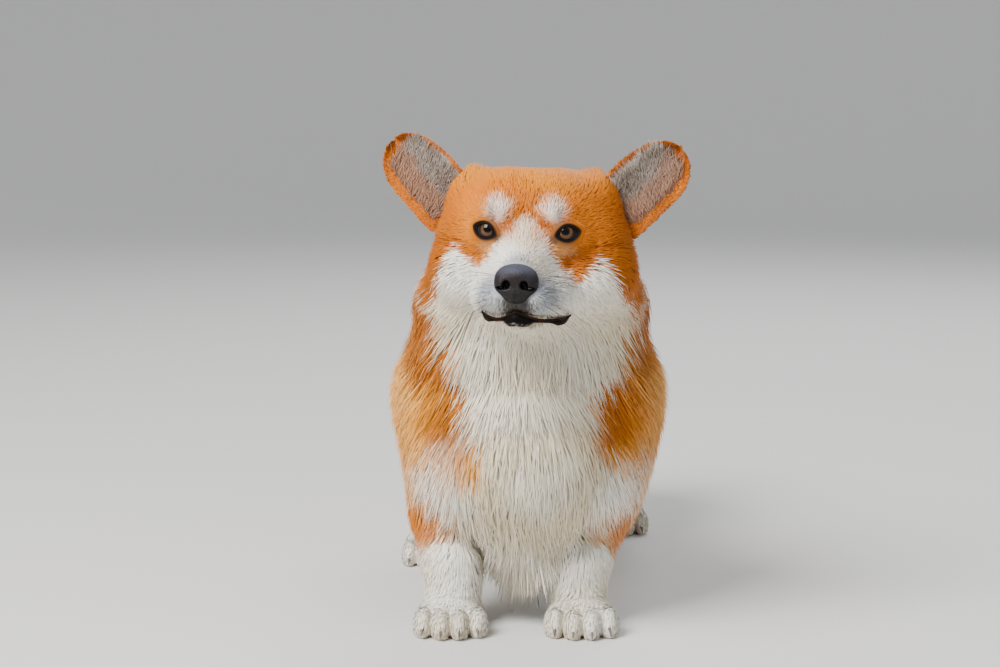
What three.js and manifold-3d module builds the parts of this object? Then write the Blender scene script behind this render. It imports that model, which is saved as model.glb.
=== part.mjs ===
// A standing pembroke welsh corgi, life size, as a museum would show it: one closed solid for each
// part that a person would name. Millimetres, +Z up. The dog faces -Y and its left side is +X.
import * as THREE from "three";
import { mergeVertices } from "three/addons/utils/BufferGeometryUtils.js";
import Module from "manifold-3d";

const wasm = await Module();
wasm.setup();

// Driving dimensions
const WITHERS_HEIGHT = 270;
const BODY_LENGTH = 1.4 * WITHERS_HEIGHT; // withers to tail root, as the breed has it
const BACK_HEIGHT = 0.97 * WITHERS_HEIGHT;
const CHEST_X = 11; // the chest stands a little to the left of the forefeet's middle
const CROUP_X = 15;
const GAP = 0.35; // what touching parts keep between them
const FINEST = 0.1; // edges shorter than this are closed up after the cuts

// Stance: paw centres on the floor
const FORE_PAW_X = 55;
const FORE_PAW_Y = -10;
const FORE_PAW = { width: 64, length: 78, top: 34 };
const HIND_PAW_RIGHT = new THREE.Vector3(-79, 258, 0);
const HIND_PAW_LEFT = new THREE.Vector3(109, 404, 0);
const HIND_PAW = { width: 56, length: 68, top: 30 };

const WITHERS_Y = 45;
const TAIL_ROOT_Y = WITHERS_Y + BODY_LENGTH;
const HIP_Y = TAIL_ROOT_Y - 62;
const WAIST_Y = 215;

// Head: its own frame has X to the dog's left, Y backwards and Z up, from the middle of the skull
const HEAD_CENTRE = new THREE.Vector3(12, -62, 335);
const HEAD_YAW = -7; // degrees towards the dog's right
const HEAD_PITCH = 3; // degrees, muzzle up
const HEAD_ROLL = 1.5; // degrees, right side up
const EYE = { side: 30.5, forward: 43.5, up: 7, radius: 11 };
const LID = { radius: 13.2, halfOpening: 9.5, openingHeight: 6.2 };
const NOSE = { forward: 98, up: -30, halfWidth: 16.5, halfHeight: 14, depth: 11 };
const HEAD_CELL = 11.8;
const JAW_CELL = 9.2;
const NOSE_CELL = 4.8;
const EAR = { length: 76, halfWidth: 29, cup: 15, thickness: 4.5, sunk: 22 };

// Long coat: the core stands in from the tips, and locks leave it and end at the tips
const CORE_DEPTH = 9;
const ROOT_DEPTH = 14;
const LOCK = { thickness: 5, rise: 2 };

const degrees = THREE.MathUtils.degToRad;
const V = (x, y, z) => new THREE.Vector3(x, y, z);

// Distance fields: a part's flesh and coat are named lumps that blend into each other

const ellipsoid = (centre, radii, turn = [0, 0, 0]) => {
  const back = new THREE.Matrix4()
    .makeRotationFromEuler(new THREE.Euler(...turn.map(degrees)))
    .setPosition(centre)
    .invert();
  const q = V(0, 0, 0);
  return (p) => {
    q.copy(p).applyMatrix4(back);
    const scaled = Math.hypot(q.x / radii[0], q.y / radii[1], q.z / radii[2]);
    const steep = Math.hypot(
      q.x / radii[0] ** 2,
      q.y / radii[1] ** 2,
      q.z / radii[2] ** 2,
    );
    return steep < 1e-9 ? -Math.min(...radii) : (scaled * (scaled - 1)) / steep;
  };
};

const limb = (from, fromRadius, to, toRadius) => {
  const along = to.clone().sub(from);
  const span = along.lengthSq();
  const q = V(0, 0, 0);
  return (p) => {
    const t = THREE.MathUtils.clamp(
      q.copy(p).sub(from).dot(along) / span,
      0,
      1,
    );
    return (
      q.addScaledVector(along, -t).length() -
      THREE.MathUtils.lerp(fromRadius, toRadius, t)
    );
  };
};

// A smooth curve through stations [place, value], flat beyond its ends
const through = (stations) => (place) => {
  const n = stations.length;
  if (place <= stations[0][0]) return stations[0][1];
  if (place >= stations[n - 1][0]) return stations[n - 1][1];
  const i = stations.findIndex(([at]) => at > place) - 1;
  const tangent = (k) => {
    const [a, b] = [stations[Math.max(k - 1, 0)], stations[Math.min(k + 1, n - 1)]];
    return (b[1] - a[1]) / (b[0] - a[0]);
  };
  const [[x0, y0], [x1, y1]] = [stations[i], stations[i + 1]];
  const w = x1 - x0;
  const t = (place - x0) / w;
  return (
    y0 * (1 + 2 * t) * (1 - t) ** 2 +
    y1 * t * t * (3 - 2 * t) +
    w * (tangent(i) * t * (1 - t) ** 2 - tangent(i + 1) * t * t * (1 - t))
  );
};

// A trunk along Y from stations [y, half width, top, bottom]. Its sizes are joined through their
// squares, which rounds both ends.
const trunk = (middleX, fullness, stations) => {
  const size = (pick) => {
    const curve = through(stations.map((row) => [row[0], pick(row) ** 2]));
    return (y) => Math.sqrt(Math.max(curve(y), 1));
  };
  const halfWidth = size(([, width]) => width);
  const halfHeight = size(([, , top, bottom]) => (top - bottom) / 2);
  const middleZ = through(stations.map(([y, , top, bottom]) => [y, (top + bottom) / 2]));
  return (p) => {
    const [w, h] = [halfWidth(p.y), halfHeight(p.y)];
    const reach =
      (Math.abs((p.x - middleX(p.y)) / w) ** fullness +
        Math.abs((p.z - middleZ(p.y)) / h) ** fullness) **
      (1 / fullness);
    const past = Math.max(stations[0][0] - p.y, p.y - stations.at(-1)[0], 0);
    return (reach - 1) * Math.min(w, h) + past;
  };
};

const blend = (softness, ...fields) => (p) =>
  fields
    .map((f) => f(p))
    .reduce((a, b) => {
      const h = Math.max(softness - Math.abs(a - b), 0) / softness;
      return Math.min(a, b) - (h * h * softness) / 4;
    });

const slope = (field, p) => {
  const e = 0.5;
  const at = (x, y, z) => field(V(p.x + x, p.y + y, p.z + z));
  return V(
    at(e, 0, 0) - at(-e, 0, 0),
    at(0, e, 0) - at(0, -e, 0),
    at(0, 0, e) - at(0, 0, -e),
  ).normalize();
};

// Moves a point along the field's slope until it stands at `level` above the surface
const settle = (field, p, level = 0) => {
  for (let step = 0; step < 4; step++)
    p.addScaledVector(slope(field, p), (level - field(p)) * 0.9);
  return p;
};

// The point where a ray from inside a field meets its surface
const surfaceAlong = (field, from, direction) => {
  let near = 0;
  for (let step = 0; step < 200; step++) {
    const d = field(from.clone().addScaledVector(direction, near));
    if (d > -0.02) break;
    near += Math.max(-d * 0.8, 0.05);
  }
  return from.clone().addScaledVector(direction, near);
};

// Where the coat is long, the core stands in from the field by its depth
const cored = (field, share) => (p) => field(p) + CORE_DEPTH * share(p);

// Meshes

const indexed = (points, index) => {
  const geometry = new THREE.BufferGeometry().setFromPoints(points);
  geometry.setIndex(index);
  return geometry;
};

// Three's own shapes repeat the points of their seams, which are merged here
const merged = (geometry) => {
  if (!geometry.attributes.uv) return geometry;
  const bare = geometry.clone();
  for (const name of Object.keys(bare.attributes))
    if (name !== "position") bare.deleteAttribute(name);
  return mergeVertices(bare, 1e-3);
};

const solidOf = (geometry) => {
  const { attributes, index } = merged(geometry);
  return new wasm.Manifold(
    new wasm.Mesh({
      numProp: 3,
      vertProperties: new Float32Array(attributes.position.array),
      triVerts: new Uint32Array(index.array),
    }),
  );
};

// The same body grown by the gap, to cut its neighbours clear of it
const cutterOf = (geometry, growth = GAP) => {
  const grown = merged(geometry).clone();
  grown.computeVertexNormals();
  const { position, normal } = grown.attributes;
  for (let i = 0; i < position.count; i++)
    position.setXYZ(
      i,
      position.getX(i) + normal.getX(i) * growth,
      position.getY(i) + normal.getY(i) * growth,
      position.getZ(i) + normal.getZ(i) * growth,
    );
  return solidOf(grown);
};

const geometryOf = (solid) => {
  const { numProp, vertProperties, triVerts } = solid.getMesh();
  const positions = new Float32Array((vertProperties.length / numProp) * 3);
  for (let i = 0; i < positions.length / 3; i++)
    positions.set(
      vertProperties.subarray(i * numProp, i * numProp + 3),
      i * 3,
    );
  const geometry = new THREE.BufferGeometry();
  geometry.setAttribute("position", new THREE.BufferAttribute(positions, 3));
  geometry.setIndex(new THREE.BufferAttribute(new Uint32Array(triVerts), 1));
  return geometry;
};

// A closed skin over rings of equal length between two end points, faces out
const skinOver = (first, rings, last) => {
  const sides = rings[0].length;
  const points = [first, ...rings.flat(), last];
  const index = [];
  const at = (ring, side) => 1 + ring * sides + (side % sides);
  for (let s = 0; s < sides; s++) {
    index.push(0, at(0, s + 1), at(0, s));
    for (let r = 0; r + 1 < rings.length; r++)
      index.push(
        at(r, s),
        at(r, s + 1),
        at(r + 1, s),
        at(r + 1, s),
        at(r, s + 1),
        at(r + 1, s + 1),
      );
    index.push(
      points.length - 1,
      at(rings.length - 1, s),
      at(rings.length - 1, s + 1),
    );
  }
  if (solidOf(indexed(points, index)).volume() < 0)
    for (let i = 0; i < index.length; i += 3)
      [index[i + 1], index[i + 2]] = [index[i + 2], index[i + 1]];
  return indexed(points, index);
};

// Rings of a field round an axis: each ring lies across `across` and is traced from the axis outwards
const loft = ({ field, axis, rings, sides, across }) => {
  const line = new THREE.CatmullRomCurve3(axis);
  const start = line.getPoint(0);
  const end = line.getPoint(1);
  const outOf = (tip, other) =>
    surfaceAlong(field, tip, tip.clone().sub(other).normalize());
  const first = outOf(start, line.getPoint(0.05));
  const last = outOf(end, line.getPoint(0.95));
  const ringAt = (centre) =>
    Array.from({ length: sides }, (_, s) => {
      const a = (s / sides) * 2 * Math.PI;
      const direction = across[0]
        .clone()
        .multiplyScalar(Math.cos(a))
        .addScaledVector(across[1], Math.sin(a));
      return surfaceAlong(field, centre, direction);
    });
  const circles = Array.from({ length: rings }, (_, i) =>
    ringAt(line.getPoint(i / (rings - 1))),
  );
  return skinOver(first, circles, last);
};

// A net over a field: one point in each cubic cell that the surface crosses, settled onto the
// surface, and one square round each cell edge that it crosses
const net = (field, box, cell) => {
  const [nx, ny, nz] = box.getSize(V(0, 0, 0)).divideScalar(cell).ceil().toArray();
  const id = (i, j, k) => (k * (ny + 1) + j) * (nx + 1) + i;
  const corner = (i, j, k) => V(i, j, k).multiplyScalar(cell).add(box.min);
  const value = [];
  for (let k = 0; k <= nz; k++)
    for (let j = 0; j <= ny; j++)
      for (let i = 0; i <= nx; i++) value[id(i, j, k)] = field(corner(i, j, k));
  const steps = [V(1, 0, 0), V(0, 1, 0), V(0, 0, 1)];
  const corners = Array.from({ length: 8 }, (_, c) => [c & 1, (c >> 1) & 1, c >> 2]);
  const points = [];
  const pointOf = new Map();
  const crossing = (i, j, k) => {
    const sum = V(0, 0, 0);
    let count = 0;
    for (const [a, b, c] of corners)
      for (const step of steps) {
        const [x, y, z] = [a + step.x, b + step.y, c + step.z];
        if (Math.max(x, y, z) > 1) continue;
        const from = value[id(i + a, j + b, k + c)];
        const to = value[id(i + x, j + y, k + z)];
        if (from < 0 === to < 0) continue;
        sum.add(corner(i + a, j + b, k + c)).addScaledVector(step, (cell * from) / (from - to));
        count++;
      }
    return count ? sum.divideScalar(count) : null;
  };
  for (let k = 0; k < nz; k++)
    for (let j = 0; j < ny; j++)
      for (let i = 0; i < nx; i++) {
        const p = crossing(i, j, k);
        if (!p) continue;
        pointOf.set(id(i, j, k), points.length);
        points.push(settle(field, p));
      }
  const index = [];
  for (let k = 1; k < nz; k++)
    for (let j = 1; j < ny; j++)
      for (let i = 1; i < nx; i++)
        steps.forEach((step, axis) => {
          const inside = value[id(i, j, k)] < 0;
          if (inside === value[id(i + step.x, j + step.y, k + step.z)] < 0) return;
          const [u, v] = [steps[(axis + 1) % 3], steps[(axis + 2) % 3]];
          const around = [
            [0, 0],
            [1, 0],
            [1, 1],
            [0, 1],
          ].map(([a, b]) =>
            pointOf.get(
              id(i - a * u.x - b * v.x, j - a * u.y - b * v.y, k - a * u.z - b * v.z),
            ),
          );
          if (!inside) around.reverse();
          const [p, q, r, s] = around;
          const shortDiagonal =
            points[p].distanceTo(points[r]) < points[q].distanceTo(points[s]);
          index.push(...(shortDiagonal ? [p, q, r, p, r, s] : [p, q, s, q, r, s]));
        });
  return indexed(points, index);
};

const AXES = { x: V(1, 0, 0), y: V(0, 1, 0), z: V(0, 0, 1) };
const ACROSS_BODY = [AXES.x, AXES.z];
const ACROSS_LEG = [AXES.x, AXES.y];

const largest = (solid) =>
  solid.decompose().reduce((a, b) => (a.volume() > b.volume() ? a : b));
const united = (solids) => solids.reduce((a, b) => a.add(b));

const SIDES = [
  [1, "left"],
  [-1, "right"],
];

// Locks of the long coat

let seed = 7;
const random = () => {
  seed = (seed * 16807) % 2147483647;
  return seed / 2147483647;
};
const vary = (share) => 1 + share * (2 * random() - 1);

// One flat, tapered lock. It leaves the core at `root`, follows the body along `lie` and ends `rise`
// above the coat's surface. `growth` widens it, to cut what it lies over.
const LOCK_STATIONS = [
  [0.06, 0.7],
  [0.38, 1],
  [0.74, 0.7],
];
const lockSkin = ({ field, root, lie, length, width, bend, rise, depth }, growth = 0) => {
  const away = slope(field, root);
  const along = lie.clone().addScaledVector(away, -lie.dot(away)).normalize();
  const aside = along.clone().cross(away);
  const whole = length + 2 * growth;
  const place = (t) => {
    const level = THREE.MathUtils.lerp(-depth, rise, Math.sin((t * Math.PI) / 2) ** 1.1);
    const straight = root.clone().addScaledVector(along, t * whole);
    return settle(field, straight.addScaledVector(aside, bend * t * t), level);
  };
  const halfThickness = LOCK.thickness / 2 + 1.2 * growth;
  const rings = LOCK_STATIONS.map(([t, share]) => {
    const middle = place(t);
    const up = slope(field, middle);
    const ahead = place(t + 0.1).sub(place(t - 0.05)).normalize();
    const across = ahead.clone().cross(up).normalize();
    const half = (width * share) / 2 + 2 * growth;
    const top = across.clone().cross(ahead);
    const corner = (side, height) =>
      middle.clone().addScaledVector(across, side * half).addScaledVector(top, height);
    return [corner(-1, -halfThickness), corner(0, halfThickness), corner(1, -halfThickness)];
  });
  return skinOver(place(0), rings, place(1));
};
const locksOf = (locks, growth = 0) =>
  united(locks.map((one) => solidOf(lockSkin(one, growth))));

// Torso

const chestToCroupX = through([
  [0, CHEST_X],
  [TAIL_ROOT_Y, CROUP_X],
]);
const torsoField = blend(
  20,
  trunk(chestToCroupX, 2.3, [
    [5, 76, 244, 68],
    [40, 92, BACK_HEIGHT, 52],
    [110, 91, BACK_HEIGHT - 3, 56],
    [190, 84, BACK_HEIGHT - 6, 70],
    [270, 79, BACK_HEIGHT - 4, 86],
    [340, 82, BACK_HEIGHT - 2, 96],
    [395, 73, BACK_HEIGHT - 10, 112],
    [427, 48, 228, 140],
    [440, 0, 190, 190],
  ]),
  ...SIDES.map(([side]) => ellipsoid(V(CHEST_X + side * 66, 28, 192), [50, 60, 62])),
  ...SIDES.map(([side]) => ellipsoid(V(CHEST_X + side * 60, 22, 138), [44, 58, 62])),
  ellipsoid(V(CHEST_X, 14, 160), [86, 98, 92]), // forechest
  ellipsoid(V(CHEST_X, 44, 74), [46, 76, 41]), // keel of the brisket
);
const longOnTorso = (p) => {
  const front = 1 - THREE.MathUtils.smoothstep(p.y, 55, 110);
  const under = 1 - THREE.MathUtils.smoothstep(p.z, 84, 120);
  const seat =
    THREE.MathUtils.smoothstep(p.y, HIP_Y + 20, HIP_Y + 60) *
    (1 - THREE.MathUtils.smoothstep(p.z, 196, 222));
  return Math.max(front, seat, under * (1 - THREE.MathUtils.smoothstep(p.y, 200, 260)));
};
const torsoSkin = loft({
  field: cored(torsoField, longOnTorso),
  axis: [
    V(CHEST_X, -50, 165),
    V(CHEST_X, 30, 155),
    V(CHEST_X, 130, 160),
    V(CHEST_X + 2, 250, 168),
    V(CROUP_X, HIP_Y + 30, 172),
  ],
  rings: 17,
  sides: 26,
  across: ACROSS_BODY,
});

// Neck

const neckField = blend(
  20,
  ellipsoid(V(CHEST_X, 6, 228), [100, 78, 58]), // base of the neck
  ellipsoid(V(CHEST_X + 1, -20, 278), [92, 64, 56]), // throat and ruff
  limb(V(CHEST_X, 66, 218), 38, V(CHEST_X + 1, -8, 324), 36), // nape
);
const longOnNeck = (p) => 1 - THREE.MathUtils.smoothstep(p.y, 40, 80);
const neckSkin = loft({
  field: cored(neckField, longOnNeck),
  axis: [V(CHEST_X, 16, 200), V(CHEST_X, 6, 240), V(12, -8, 290), V(12, -22, 334)],
  rings: 11,
  sides: 24,
  across: ACROSS_LEG,
});

// Head, in its own frame

const eyeCentre = (side) => V(side * EYE.side, -EYE.forward, EYE.up);
const headField = blend(
  12,
  ...SIDES.flatMap(([side]) => [
    ellipsoid(V(side * 20, 8, 14), [50, 60, 44]), // half of the cranium
    ellipsoid(V(side * 50, 0, 2), [24, 40, 26]), // temple
    ellipsoid(V(side * 44, 4, -26), [42, 50, 38]), // cheek
    ellipsoid(V(side * 24, -43, 22), [15, 14, 10]), // brow
    ellipsoid(eyeCentre(side).add(V(side * 2, 6, -3)), [17, 15, 15]), // eye surround
    ellipsoid(V(side * 13, -78, -42), [18, 25, 16]), // flew
    ellipsoid(V(side * 25, -54, -44), [16, 25, 19]), // upper lip towards the corner
  ]),
  ellipsoid(V(0, -20, 22), [42, 31, 32]), // forehead
  ellipsoid(V(0, -24, -34), [44, 40, 24]), // roof of the throat
  limb(V(0, -38, -16), 32, V(0, 12 - NOSE.forward, -27), 17), // muzzle
);
const headSkin = net(
  headField,
  new THREE.Box3(V(-100, -118, -82), V(100, 84, 72)),
  HEAD_CELL,
);

const jawField = blend(
  10,
  limb(V(0, -24, -52), 21, V(0, -78, -58), 11),
  ellipsoid(V(0, -10, -50), [44, 40, 25]),
);
const jawSkin = net(
  jawField,
  new THREE.Box3(V(-56, -104, -86), V(56, 44, -12)),
  JAW_CELL,
);

const headMatrix = new THREE.Matrix4()
  .makeRotationFromEuler(
    new THREE.Euler(
      degrees(-HEAD_PITCH),
      degrees(HEAD_ROLL),
      degrees(HEAD_YAW),
      "ZXY",
    ),
  )
  .setPosition(HEAD_CENTRE);
const toHeadMatrix = headMatrix.clone().invert();
const intoHead = (solid) => solid.transform(toHeadMatrix.elements);
const intoWorld = (solid) => solid.transform(headMatrix.elements);

const ball = (centre, radii, sides = 16) =>
  solidOf(
    new THREE.SphereGeometry(1, sides, sides / 2)
      .scale(...radii)
      .translate(centre.x, centre.y, centre.z),
  );

// A lid rim round each eye, open in an almond that slants down towards the nose
const lidRim = (side) =>
  ball(eyeCentre(side), [LID.radius + 1.5, LID.radius, LID.radius * 0.86], 12);
const eyeOpening = (side) => {
  const almond = new THREE.Shape();
  almond.moveTo(-LID.halfOpening, 0);
  almond.quadraticCurveTo(0, 2 * LID.openingHeight, LID.halfOpening, 0);
  almond.quadraticCurveTo(0, -1.7 * LID.openingHeight, -LID.halfOpening, 0);
  return solidOf(
    new THREE.ExtrudeGeometry(almond, { depth: 30, bevelEnabled: false, curveSegments: 5 })
      .rotateX(degrees(90))
      .rotateY(side * degrees(-8))
      .rotateZ(side * degrees(16))
      .translate(side * EYE.side, -EYE.forward, EYE.up),
  );
};

// Nose leather with its two nostrils
const noseCentre = V(0, -NOSE.forward, NOSE.up);
const noseField = blend(
  4,
  ellipsoid(noseCentre.clone().add(V(0, 1, 3)), [NOSE.halfWidth, NOSE.depth, NOSE.halfHeight - 3]),
  ellipsoid(noseCentre.clone().add(V(0, -1, -5)), [NOSE.halfWidth - 6, NOSE.depth - 2, NOSE.halfHeight - 4]),
);
const noseSkin = net(
  noseField,
  new THREE.Box3(V(-24, -18, -22).add(noseCentre), V(24, 18, 22).add(noseCentre)),
  NOSE_CELL,
);
const nostril = (side) =>
  united([
    ball(noseCentre.clone().add(V(side * 6.8, -9.5, -1.5)), [3.4, 6, 3.9], 10),
    ball(noseCentre.clone().add(V(side * 12, -6.5, -4.5)), [4.4, 5, 1.7], 10),
  ]);

// The lip's rolled edge, on the lower margin of the flews
const LIP_RADIUS = 3;
const lipRoll = () => {
  const margin = through([
    [0, -96],
    [10, -93],
    [20, -82],
    [28, -68],
    [34, -52],
  ]);
  const sag = through([
    [0, -50],
    [12, -55],
    [34, -62],
  ]);
  const line = new THREE.CatmullRomCurve3(
    [-34, -27, -18, -9, 0, 9, 18, 27, 34].map((x) =>
      settle(headField, V(x, margin(Math.abs(x)), sag(Math.abs(x))), -0.6),
    ),
  );
  const steps = 15;
  const rings = Array.from({ length: steps }, (_, i) => {
    const t = 0.01 + (0.98 * i) / (steps - 1);
    const out = V(0, 0, 1).cross(line.getTangent(t)).normalize();
    const radius = LIP_RADIUS * Math.min(1, 0.5 + 6 * Math.min(t, 1 - t));
    return Array.from({ length: 6 }, (_, s) => {
      const a = (s / 6) * 2 * Math.PI;
      return line
        .getPoint(t)
        .addScaledVector(out, radius * Math.cos(a))
        .add(V(0, 0, radius * Math.sin(a)));
    });
  });
  return skinOver(line.getPoint(0), rings, line.getPoint(1));
};

// Ears: a cupped leaf with a rounded tip, whose edges come forward

const earSkin = (side) => {
  const up = V(side * 0.68, 0.1, 0.73).normalize();
  const facing = V(side * 0.2, -0.97, 0.05);
  const outward = facing.clone().cross(up).multiplyScalar(side).normalize();
  const back = outward.clone().cross(up).multiplyScalar(side).normalize();
  const base = V(side * 66.5, 12, 24);
  const steps = 8;
  const across = 6;
  const whole = EAR.length + EAR.sunk;
  const leaf = (t, v, face) => {
    const rounding = Math.max(0, (t - 0.5) / 0.5) ** 2.4;
    const width =
      EAR.halfWidth * Math.sqrt(Math.max(0, 1 - rounding)) * THREE.MathUtils.lerp(0.96, 1, t);
    const hollow = EAR.cup * (1 - v * v) * (1 - 0.5 * t);
    const lowerOuterEdge = -17 * v * (1 - t);
    return base
      .clone()
      .addScaledVector(up, t * whole - EAR.sunk + lowerOuterEdge)
      .addScaledVector(outward, v * width)
      .addScaledVector(back, hollow - EAR.cup * 0.5 + (face * EAR.thickness) / 2);
  };
  const ring = (t) => [
    ...Array.from({ length: across + 1 }, (_, i) => leaf(t, (2 * i) / across - 1, -1)),
    ...Array.from({ length: across + 1 }, (_, i) => leaf(t, 1 - (2 * i) / across, 1)),
  ];
  const rings = Array.from({ length: steps }, (_, i) => ring((i / (steps - 1)) ** 0.8 * 0.985));
  return skinOver(leaf(0, 0, 0), rings, leaf(1, 0, 0));
};

// Legs

const TOES = [-1.5, -0.5, 0.5, 1.5];
const toeCentre = (centre, paw, t) =>
  centre.clone().add(V(t * paw.width * 0.235, -paw.length * (0.37 - 0.045 * t * t), 9));
const pad = (centre, paw) =>
  ellipsoid(centre.clone().add(V(0, 6, 9)), [paw.width * 0.46, paw.length * 0.45, 24]);
const toes = (centre, paw) =>
  united(
    TOES.map((t) =>
      ball(toeCentre(centre, paw, t), [paw.width * 0.145, paw.length * 0.235, 15], 7),
    ),
  );
const claws = (centre, paw) =>
  united(
    TOES.map((t) => {
      const root = toeCentre(centre, paw, t).add(V(0, -paw.length * 0.12, 1));
      const tip = root.clone().add(V(t * 1.2, -11, -6));
      const claw = new THREE.ConeGeometry(3, root.distanceTo(tip), 4);
      const turn = new THREE.Quaternion().setFromUnitVectors(
        AXES.y,
        tip.clone().sub(root).normalize(),
      );
      claw.applyQuaternion(turn).translate(...root.clone().lerp(tip, 0.5).toArray());
      return solidOf(claw);
    }),
  );

const foreleg = (side) => {
  const paw = V(side * FORE_PAW_X, FORE_PAW_Y, 0);
  const wrist = V(side * 53, 4, 36);
  const pastern = V(side * 2, 4, 22).add(wrist);
  const elbow = V(side * 60 + 3, 26, 92);
  const shoulder = V(CHEST_X + side * 62, 18, 165);
  const field = blend(
    8,
    pad(paw, FORE_PAW),
    limb(wrist, 25.5, pastern, 26),
    limb(pastern, 26, elbow, 33),
    limb(elbow, 33, shoulder, 40),
  );
  const skin = loft({
    field,
    axis: [V(0, 0, -5).add(paw), V(0, 6, 16).add(paw), wrist, pastern, elbow, shoulder],
    rings: 14,
    sides: 20,
    across: ACROSS_LEG,
  });
  return { paw, size: FORE_PAW, field, skin, elbow };
};

const longOnThigh = (p) =>
  THREE.MathUtils.smoothstep(p.y, HIP_Y - 10, HIP_Y + 40) *
  THREE.MathUtils.smoothstep(p.z, 92, 116);
const hindleg = (side) => {
  const paw = side > 0 ? HIND_PAW_LEFT : HIND_PAW_RIGHT;
  const hip = V(CROUP_X + side * 46, HIP_Y - 6, 178);
  const knee = V(
    (hip.x + paw.x) / 2 + side * 6,
    THREE.MathUtils.lerp(hip.y, paw.y, 0.35) - 46,
    120,
  );
  const hock = V(-side * 6, 38, 58).add(paw);
  const field = blend(
    14,
    pad(paw, HIND_PAW),
    limb(V(0, 14, 18).add(paw), 19, hock, 18),
    limb(hock, 19, knee, 40),
    limb(knee, 42, hip, 58),
    ellipsoid(V(side * 6, 4, -24).add(hip), [46, 72, 65]), // thigh and breeches
    limb(V(side * 8, 26, -26).add(hip), 44, V(0, -6, 36).add(hock), 27),
  );
  const skin = loft({
    field: cored(field, longOnThigh),
    axis: [
      V(0, 0, -5).add(paw),
      V(0, 10, 18).add(paw),
      V(0, -6, -10).add(hock),
      V(0, -10, 16).add(hock),
      knee.clone().lerp(hock, 0.35),
      V(side * 6, -8, -40).add(hip),
      hip,
    ],
    rings: 14,
    sides: 20,
    across: ACROSS_LEG,
  });
  return { paw, size: HIND_PAW, field, skin, hip, hock };
};
const forelegs = SIDES.map(([side]) => foreleg(side));
const hindlegs = SIDES.map(([side]) => hindleg(side));
const THIGH_BOTTOM = 104;

// Tail: a short docked nub

const tailCentre = V(CROUP_X, TAIL_ROOT_Y - 4, 226);
const tailField = ellipsoid(tailCentre, [26, 30, 25]);
const tailSkin = loft({
  field: cored(tailField, () => 0.5),
  axis: [V(0, -16, 0).add(tailCentre), V(0, 16, 0).add(tailCentre)],
  rings: 4,
  sides: 10,
  across: ACROSS_BODY,
});

// Long coat: every lock belongs to the part that its root stands in

const bodyFields = {
  neck: neckField,
  torso: torsoField,
  foreleg_left: forelegs[0].field,
  foreleg_right: forelegs[1].field,
  thigh_left: hindlegs[0].field,
  thigh_right: hindlegs[1].field,
  tail: tailField,
};
const coatField = blend(10, ...Object.values(bodyFields));
const cheekCoat = blend(8, headField, (p) => neckField(p.clone().applyMatrix4(headMatrix)));

const LOCK_BEND = 9;
const lockAt = (field, root, lie, { length, width, rise = LOCK.rise, depth = ROOT_DEPTH }) => ({
  field,
  root,
  lie,
  rise,
  depth,
  length: length * vary(0.1),
  width: width * vary(0.12),
  bend: LOCK_BEND * (2 * random() - 1),
});

// A row round an upright axis, from `from` to `to` degrees, counted from the dog's front. Its locks
// fall, and spread away from the axis by `spread`.
const rowRound = ({ axis, height, from, to, count, spread = 0.34, ...size }) =>
  Array.from({ length: count }, (_, i) => {
    const share = (i + 0.5 + 0.24 * (random() - 0.5)) / count;
    const angle = degrees(THREE.MathUtils.lerp(from, to, share));
    const out = V(Math.sin(angle), -Math.cos(angle), 0);
    const start = V(axis[0], axis[1], height + 6 * (random() - 0.5));
    const root = surfaceAlong(coatField, start, out);
    const sideways = Math.abs(out.x);
    const lie = V(spread * out.x, 0.36 * sideways + Math.max(0, out.y) * spread, -1);
    const rise = THREE.MathUtils.lerp(LOCK.rise, size.rise ?? LOCK.rise, sideways);
    return lockAt(coatField, root, lie, { ...size, rise });
  });

const CHEST_AXIS = [CHEST_X, 20];
const CHEST_ROWS = [
  { height: 298, reach: 108, count: 8, length: 74, width: 31 },
  { height: 264, reach: 124, count: 10, length: 80, width: 33, rise: 4 },
  { height: 232, reach: 128, count: 11, length: 84, width: 33, rise: 7 },
  { height: 194, reach: 112, count: 11, length: 84, width: 33, rise: 6 },
  { height: 156, reach: 90, count: 9, length: 78, width: 32 },
  { height: 120, reach: 58, count: 6, length: 70, width: 31 },
  { height: 90, reach: 54, count: 5, length: 54, width: 30 },
];
const chestLocks = CHEST_ROWS.flatMap(({ reach, ...row }) =>
  rowRound({ axis: CHEST_AXIS, from: -reach, to: reach, ...row }),
);

const SEAT_ROWS = [
  { height: 196, reach: 46, count: 4, length: 68, width: 34 },
  { height: 158, reach: 40, count: 3, length: 58, width: 33 },
];
const seatLocks = SEAT_ROWS.flatMap(({ reach, ...row }) =>
  rowRound({ axis: [CROUP_X, HIP_Y + 20], from: 180 - reach, to: 180 + reach, ...row }),
);

const BREECH_HEIGHTS = [160, 134];
const breechLocks = hindlegs.flatMap(({ hip }, i) => {
  const side = SIDES[i][0];
  return BREECH_HEIGHTS.flatMap((height) =>
    rowRound({
      axis: [hip.x, hip.y + 20],
      height,
      from: side * 88,
      to: side * 168,
      count: 3,
      length: 56,
      width: 28,
      spread: 0.2,
    }),
  );
});

const featherLocks = forelegs.flatMap(({ elbow }) =>
  rowRound({
    axis: [elbow.x, elbow.y],
    height: elbow.z + 10,
    from: 140,
    to: 220,
    count: 3,
    length: 46,
    width: 22,
    rise: 4,
  }),
);

const BELLY_ROWS = [140, 190];
const bellyLocks = BELLY_ROWS.flatMap((y) =>
  [-1, 0, 1].map((across) => {
    const root = surfaceAlong(coatField, V(CHEST_X, y, 160), V(0.5 * across, 0, -1).normalize());
    return lockAt(coatField, root, V(0.1 * across, 1, -0.2), { length: 52, width: 30, rise: 4 });
  }),
);

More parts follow.
